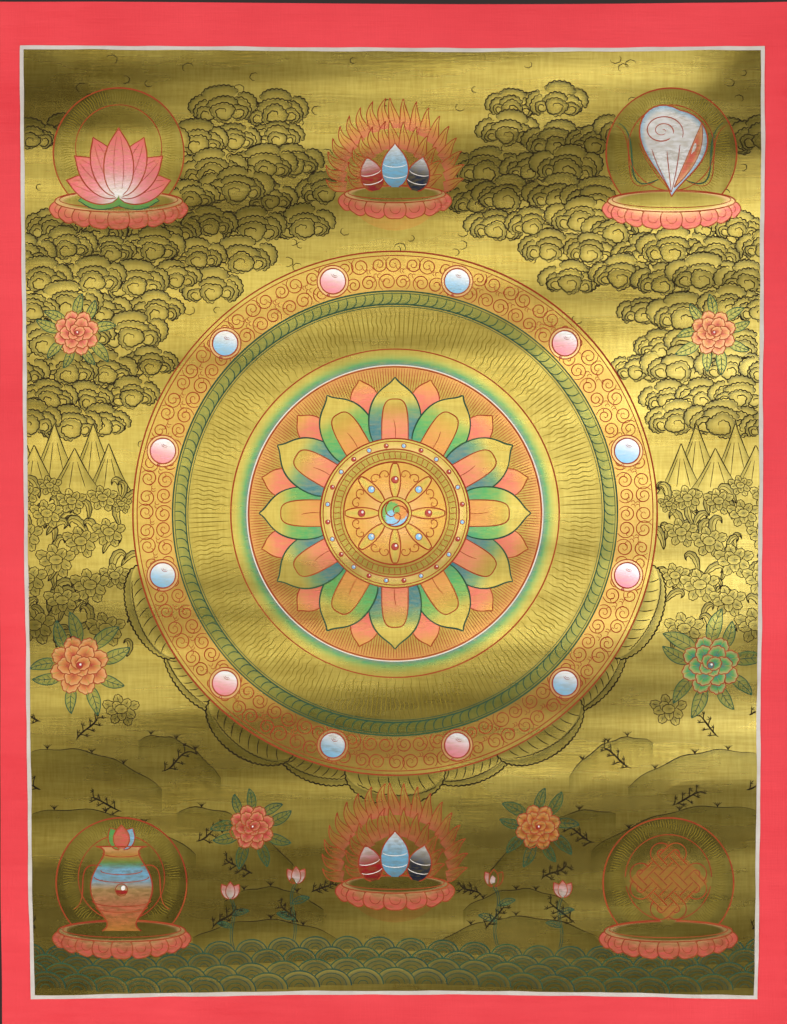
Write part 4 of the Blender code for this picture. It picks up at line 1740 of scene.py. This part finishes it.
def flattened(angle):
    """The unit steps at some angles, with their rise flattened as the clouds are."""
    return np.stack([np.cos(angle), CLOUD_SQUASH * np.sin(angle)], 1)


def cloud_shades(*strengths):
    """The cloud's olive wash at a strength for each ring, from the middle outwards."""
    return in_rings(*(tinted(CLOUD_WASH, strength) for strength in strengths))


LOBE_TURNS, LOBE_HIDDEN, BANK_HIDDEN = 1.75, 0.84, 0.8


def lobe(centre, radius, hand):
    """A scalloped line that runs once round a lobe and then winds in. Two slow waves in its
    radius keep it from being a plain oval. The olive wash is dark along the edge."""
    first, second = chance.uniform(0, TURN, 2)

    def at(angle, reach):
        uneven = 1 + 0.08 * np.sin(3 * angle + first) + 0.04 * np.sin(5 * angle + second)
        return flattened(angle) * (reach * uneven)[:, None] + centre

    outline = at(np.linspace(0, TURN, 18), np.full(18, radius))
    if is_taken(outline).mean() > LOBE_HIDDEN:
        return
    share = np.linspace(0, 1, 60)
    inwards = np.clip((share - 0.4) / 0.6, 0, 1)
    angle = -TURN / 4 - 0.25 * hand + hand * TURN * LOBE_TURNS * share
    bump, height = min(BUMP, radius * 0.42), min(BUMP_HEIGHT, radius * 0.13)
    winding = bumpy(at(angle, radius * (1 - 0.8 * inwards)), bump, height, hand, 0.3)
    draw("cloud_lines", winding, 0.6 + 0.02 * radius, taper=0.5, step=0.9)
    wash("clouds", loop_patch(outline), cloud_shades(0.0, 0.15, 0.5, 0.85))
    reserve(outline)


def bank(centre, radius, start, sweep):
    """A bank of cloud that rises behind a lobe: an arc whose ends sink inwards, scalloped along
    its outer side, with an olive wash that fades towards the lobe."""
    share = np.linspace(-1, 1, 13)
    angle = start + sweep * (share + 1) / 2
    reach = radius * (1 - 0.16 * share**4) * (1 + 0.05 * np.sin(3 * angle + radius))
    edge = flattened(angle) * reach[:, None] + centre
    if is_taken(edge).mean() > BANK_HIDDEN:
        return
    hand = 1 if sweep > 0 else -1
    draw("cloud_lines", bumpy(edge, BUMP, BUMP_HEIGHT, hand), 0.8, taper=0.5, step=0.9)
    rows = np.array([0.5, 0.74, 0.9, 1 + 0.4 * BUMP_HEIGHT / radius])[:, None, None]
    wash("clouds", centre + rows * (edge - centre), cloud_shades(0.0, 0.2, 0.55, 0.9))
    reserve(np.concatenate([edge, [centre]]))


# Lobes: place and radius as shares of the head's size. Banks: place, radius, start and sweep,
# the angles in degrees. Those in front come first.
LOBES = ((0.0, 0.0, 0.40), (0.54, -0.08, 0.29), (-0.50, 0.0, 0.27))
BANKS = (
    (0.0, 0.04, 0.60, 22, 150), (0.42, 0.04, 0.50, -62, 146), (-0.38, 0.06, 0.48, 98, 140),
    (0.04, 0.14, 0.84, 42, 92), (0.54, 0.16, 0.58, -28, 118), (-0.52, 0.18, 0.56, 92, 124),
)


def cloud(centre, size, side):
    """A cloud head: three lobes in front and six banks behind, mirrored by the side it faces."""
    centre = np.asarray(centre, float)
    for u, v, radius in LOBES:
        hand = side * (1 if u >= 0 else -1)
        lobe(centre + size * np.array([side * u, v]), size * radius * chance.uniform(0.88, 1.12), hand)
    for u, v, radius, start, sweep in BANKS:
        start, sweep = np.radians(start + chance.uniform(-12, 12)), np.radians(sweep)
        if side < 0:
            start, sweep = np.pi - start, -sweep
        at = centre + size * np.array([side * u, v])
        bank(at, size * radius * chance.uniform(0.92, 1.1), start, sweep)


def comma(centre, size, hand):
    """A loose curl of a few bumps."""
    arc = ring(size, centre, chance.uniform(0, TURN), hand * 3.8, 0.8, step=0.6)
    draw("cloud_lines", bumpy(arc, size * 0.9, 0.5, hand, 0.3), 0.5, taper=0.7, step=0.8)


# The clouds stand in staggered rows over the wheel's shoulders, the lower rows in front. Each
# row has its height and its nearest and farthest place from the middle.
CLOUD_PITCH, COMMAS = 27, 170
COMMA_LOW, COMMA_HIGH = (-232, 50), (232, 300)
CLOUD_ROWS = (
    (58, 176, 240), (76, 168, 240), (95, 158, 240), (114, 146, 238), (133, 132, 238), (152, 112, 238),
    (171, 76, 236), (190, 44, 236), (209, 46, 130), (228, 50, 128), (247, 54, 236), (264, 60, 120),
)
for row, (v, nearest, farthest) in enumerate(CLOUD_ROWS):
    for u in np.arange(farthest - CLOUD_PITCH // 2 * (row % 2), nearest, -CLOUD_PITCH):
        for side in (-1, 1):
            place = (side * (u + chance.uniform(-5, 5)), v + chance.uniform(-5, 5))
            cloud(place, chance.uniform(15, 22), side)
for u, v in chance.uniform(COMMA_LOW, COMMA_HIGH, (COMMAS, 2)):
    comma((u, v), chance.uniform(2.0, 3.4), 1 if u > 0 else -1)
print("cloud lines:", len(lines["cloud_lines"]), "twig lines:", len(lines["twig_lines"]))

# %% [markdown]
# ## Making the layers
# All washes and lines that were collected now become meshes, one piece each.

# %% Lay the washes and lines
WASH_HEIGHT = 0.19 * MM
for name, patches in washes.items():
    finish_piece(name, wash_mesh(name, patches, WASH_HEIGHT), wash_paint, LAYER)

INKS = (
    (red_ink, ("wheel_red_lines", "wheel_scroll_lines", "petal_red_lines", "roundel_red_lines",
               "flame_lines", "flower_lines")),
    (teal_ink, ("wheel_teal_lines", "petal_teal_lines", "leaf_lines", "wave_lines")),
    (ray_ink, ("wheel_rays", "roundel_rays")),
    (white_ink, ("wheel_white_lines",)),
    (dark_ink, ("cloud_lines", "land_lines", "twig_lines")),
)
for ink, names in INKS:
    for name in names:
        finish_piece(name, ridge_mesh(name, lines[name], LINE_HEIGHT), ink, smooth=False)

# %% [markdown]
# ## The ruled line
# A painter rules this line last, over the seam of red and gold. It could be a strip cut from the
# sheet's grid, but a brush stroke of its own swells and thins a little, as the real one does.

# %% The pale line
# It was ruled by hand along the seam of red and gold, one closed stroke with square corners. The
# stroke starts at the middle of the top side. At a corner its width is that of a mitre.
LINE_MIDDLES = np.array([1.5, 3.5])
PALE_STEP = 1.6
PALE_HEIGHT = 0.28 * MM
side = np.linspace(*LINE_MIDDLES, 260)
across_x, across_z = place_on_sheet(side, LINE_MIDDLES)
up_x, up_z = place_on_sheet(LINE_MIDDLES, side)
four_sides = [
    resampled(np.stack([side_x, side_z], 1) / MM - (0, PICTURE_Z / MM), PALE_STEP)[:-1]
    for side_x, side_z in ((across_x[0], across_z[0]), (up_x[:, 1], up_z[:, 1]),
                           (across_x[1, ::-1], across_z[1, ::-1]), (up_x[::-1, 0], up_z[::-1, 0]))
]
corner_at = np.cumsum([0] + [len(points) for points in four_sides[:-1]])
loop = np.concatenate(four_sides)
share = np.linspace(0, 1, len(loop))
pale_width = PALE_LINE_WIDTH / MM * (0.88 + 0.07 * np.sin(share * 211) + 0.04 * np.sin(share * 517))
pale_width[corner_at] *= np.sqrt(2)
wobble = 0.12 * np.sin(share * 131) + 0.08 * np.sin(share * 307 + 1)
loop += wobble[:, None]
start = len(four_sides[0]) // 2
loop, pale_width = (np.concatenate([part[start:], part[:start + 1]]) for part in (loop, pale_width))
pale = ridge_mesh("pale_line", [(loop, pale_width, np.ones(len(loop)))], PALE_HEIGHT)
finish_piece("pale_line", pale, pale_paint, smooth=False)

# %% [markdown]
# ## Floor, light and camera
# A pale floor lies below the hung sheet. Burnished gold shows what stands in front of it, so the
# lamps are shaped for their reflections: two broad ones side by side in front make the glow
# across the middle, their lower edges leave the foot dark, and a small cool one makes the right
# side paler. Two lamps at the sides light the matt paint, and gold doesn't mirror them to the
# camera. One behind shows the bare back when the sheet is turned.

# %% Floor
FLOOR_Z, FLOOR_RADIUS, FLOOR_SIDES = -1.30, 1.1, 64


def make_floor():
    """A plain pale disc on the ground."""
    angle = np.linspace(0, TURN, FLOOR_SIDES + 1)[:-1]
    points = np.stack([np.cos(angle), np.sin(angle), 0 * angle], 1) * FLOOR_RADIUS + (0, -0.3, FLOOR_Z)
    floor = bpy.data.objects.new("floor", make_mesh("floor", points, np.arange(FLOOR_SIDES)[None]))
    bpy.context.scene.collection.objects.link(floor)
    material, tree, shader, where = new_finish("pale_floor")
    tree.links.new(blend_colours(tree, noise(tree, where, 6, 3), mixed(206, 204, 200), mixed(216, 214, 210)),
                   shader.inputs["Base Color"])
    shader.inputs["Roughness"].default_value = 0.85
    floor.data.materials.append(material)


make_floor()

# %% Lamps and surroundings


SHEET_MIDDLE = (0, 0, -SHEET_HEIGHT / 2)
WHITE_LIGHT, COOL_LIGHT = (1, 1, 1), (0.42, 0.52, 1.0)
# Name, place, width and height, power in watts and colour
LAMPS = (
    ("front_left", (-0.42, -2.2, -0.195), (0.78, 0.69), 3.6, WHITE_LIGHT),
    ("front_right", (0.44, -2.2, -0.195), (0.84, 0.69), 4.8, WHITE_LIGHT),
    ("front_far_right", (0.62, -2.2, -0.27), (0.36, 0.44), 1.9, COOL_LIGHT),
    ("left_side", (-2.2, -0.8, -0.3), (0.6, 0.6), 60, WHITE_LIGHT),
    ("right_side", (2.2, -0.8, -0.3), (0.6, 0.6), 52, WHITE_LIGHT),
    ("behind", (0.3, 2.0, 0.3), (0.8, 0.8), 16, WHITE_LIGHT),
)


def soft_lamp(name, place, size, power, colour):
    """A rectangular lamp that faces the sheet's middle."""
    data = bpy.data.lights.new(name, "AREA")
    data.shape = "RECTANGLE"
    data.size, data.size_y = size
    data.energy = power
    data.color = colour
    lamp = bpy.data.objects.new(name, data)
    bpy.context.scene.collection.objects.link(lamp)
    lamp.location = place
    lamp.rotation_mode = "QUATERNION"
    lamp.rotation_quaternion = (Vector(SHEET_MIDDLE) - Vector(place)).to_track_quat("-Z", "Y")


for lamp_values in LAMPS:
    soft_lamp(*lamp_values)
world = bpy.data.worlds.new("studio")
world.use_nodes = True
surroundings = world.node_tree.nodes["Background"].inputs
surroundings["Color"].default_value = (0.76, 0.60, 0.54, 1)
surroundings["Strength"].default_value = 0.055
bpy.context.scene.world = world
bpy.context.scene.view_settings.view_transform = "Standard"

# %% Camera
# The photograph shows 0.6456 mm of cloth in each of its pixels. The sheet's left edge lies at
# its left edge, and the sheet's top edge two pixels below its top.
PIXEL = 0.6456 * MM
PHOTO_WIDTH, PHOTO_HEIGHT = 787, 1024
SHEET_LEFT_PIXEL, SHEET_TOP_PIXEL = 0.0, 2.0
CAMERA_DISTANCE, SENSOR = 1.7, 36
lens = bpy.data.cameras.new("camera")
lens.sensor_fit = "VERTICAL"
lens.sensor_height = SENSOR
lens.sensor_width = SENSOR
lens.lens = SENSOR * CAMERA_DISTANCE / (PHOTO_HEIGHT * PIXEL)
camera = bpy.data.objects.new("camera", lens)
bpy.context.scene.collection.objects.link(camera)
view_x = -SHEET_WIDTH / 2 + (PHOTO_WIDTH / 2 - SHEET_LEFT_PIXEL) * PIXEL
view_z = -(PHOTO_HEIGHT / 2 - SHEET_TOP_PIXEL) * PIXEL
camera.location = (view_x, -CAMERA_DISTANCE, view_z)
camera.rotation_euler = (np.pi / 2, 0, 0)
bpy.context.scene.camera = camera
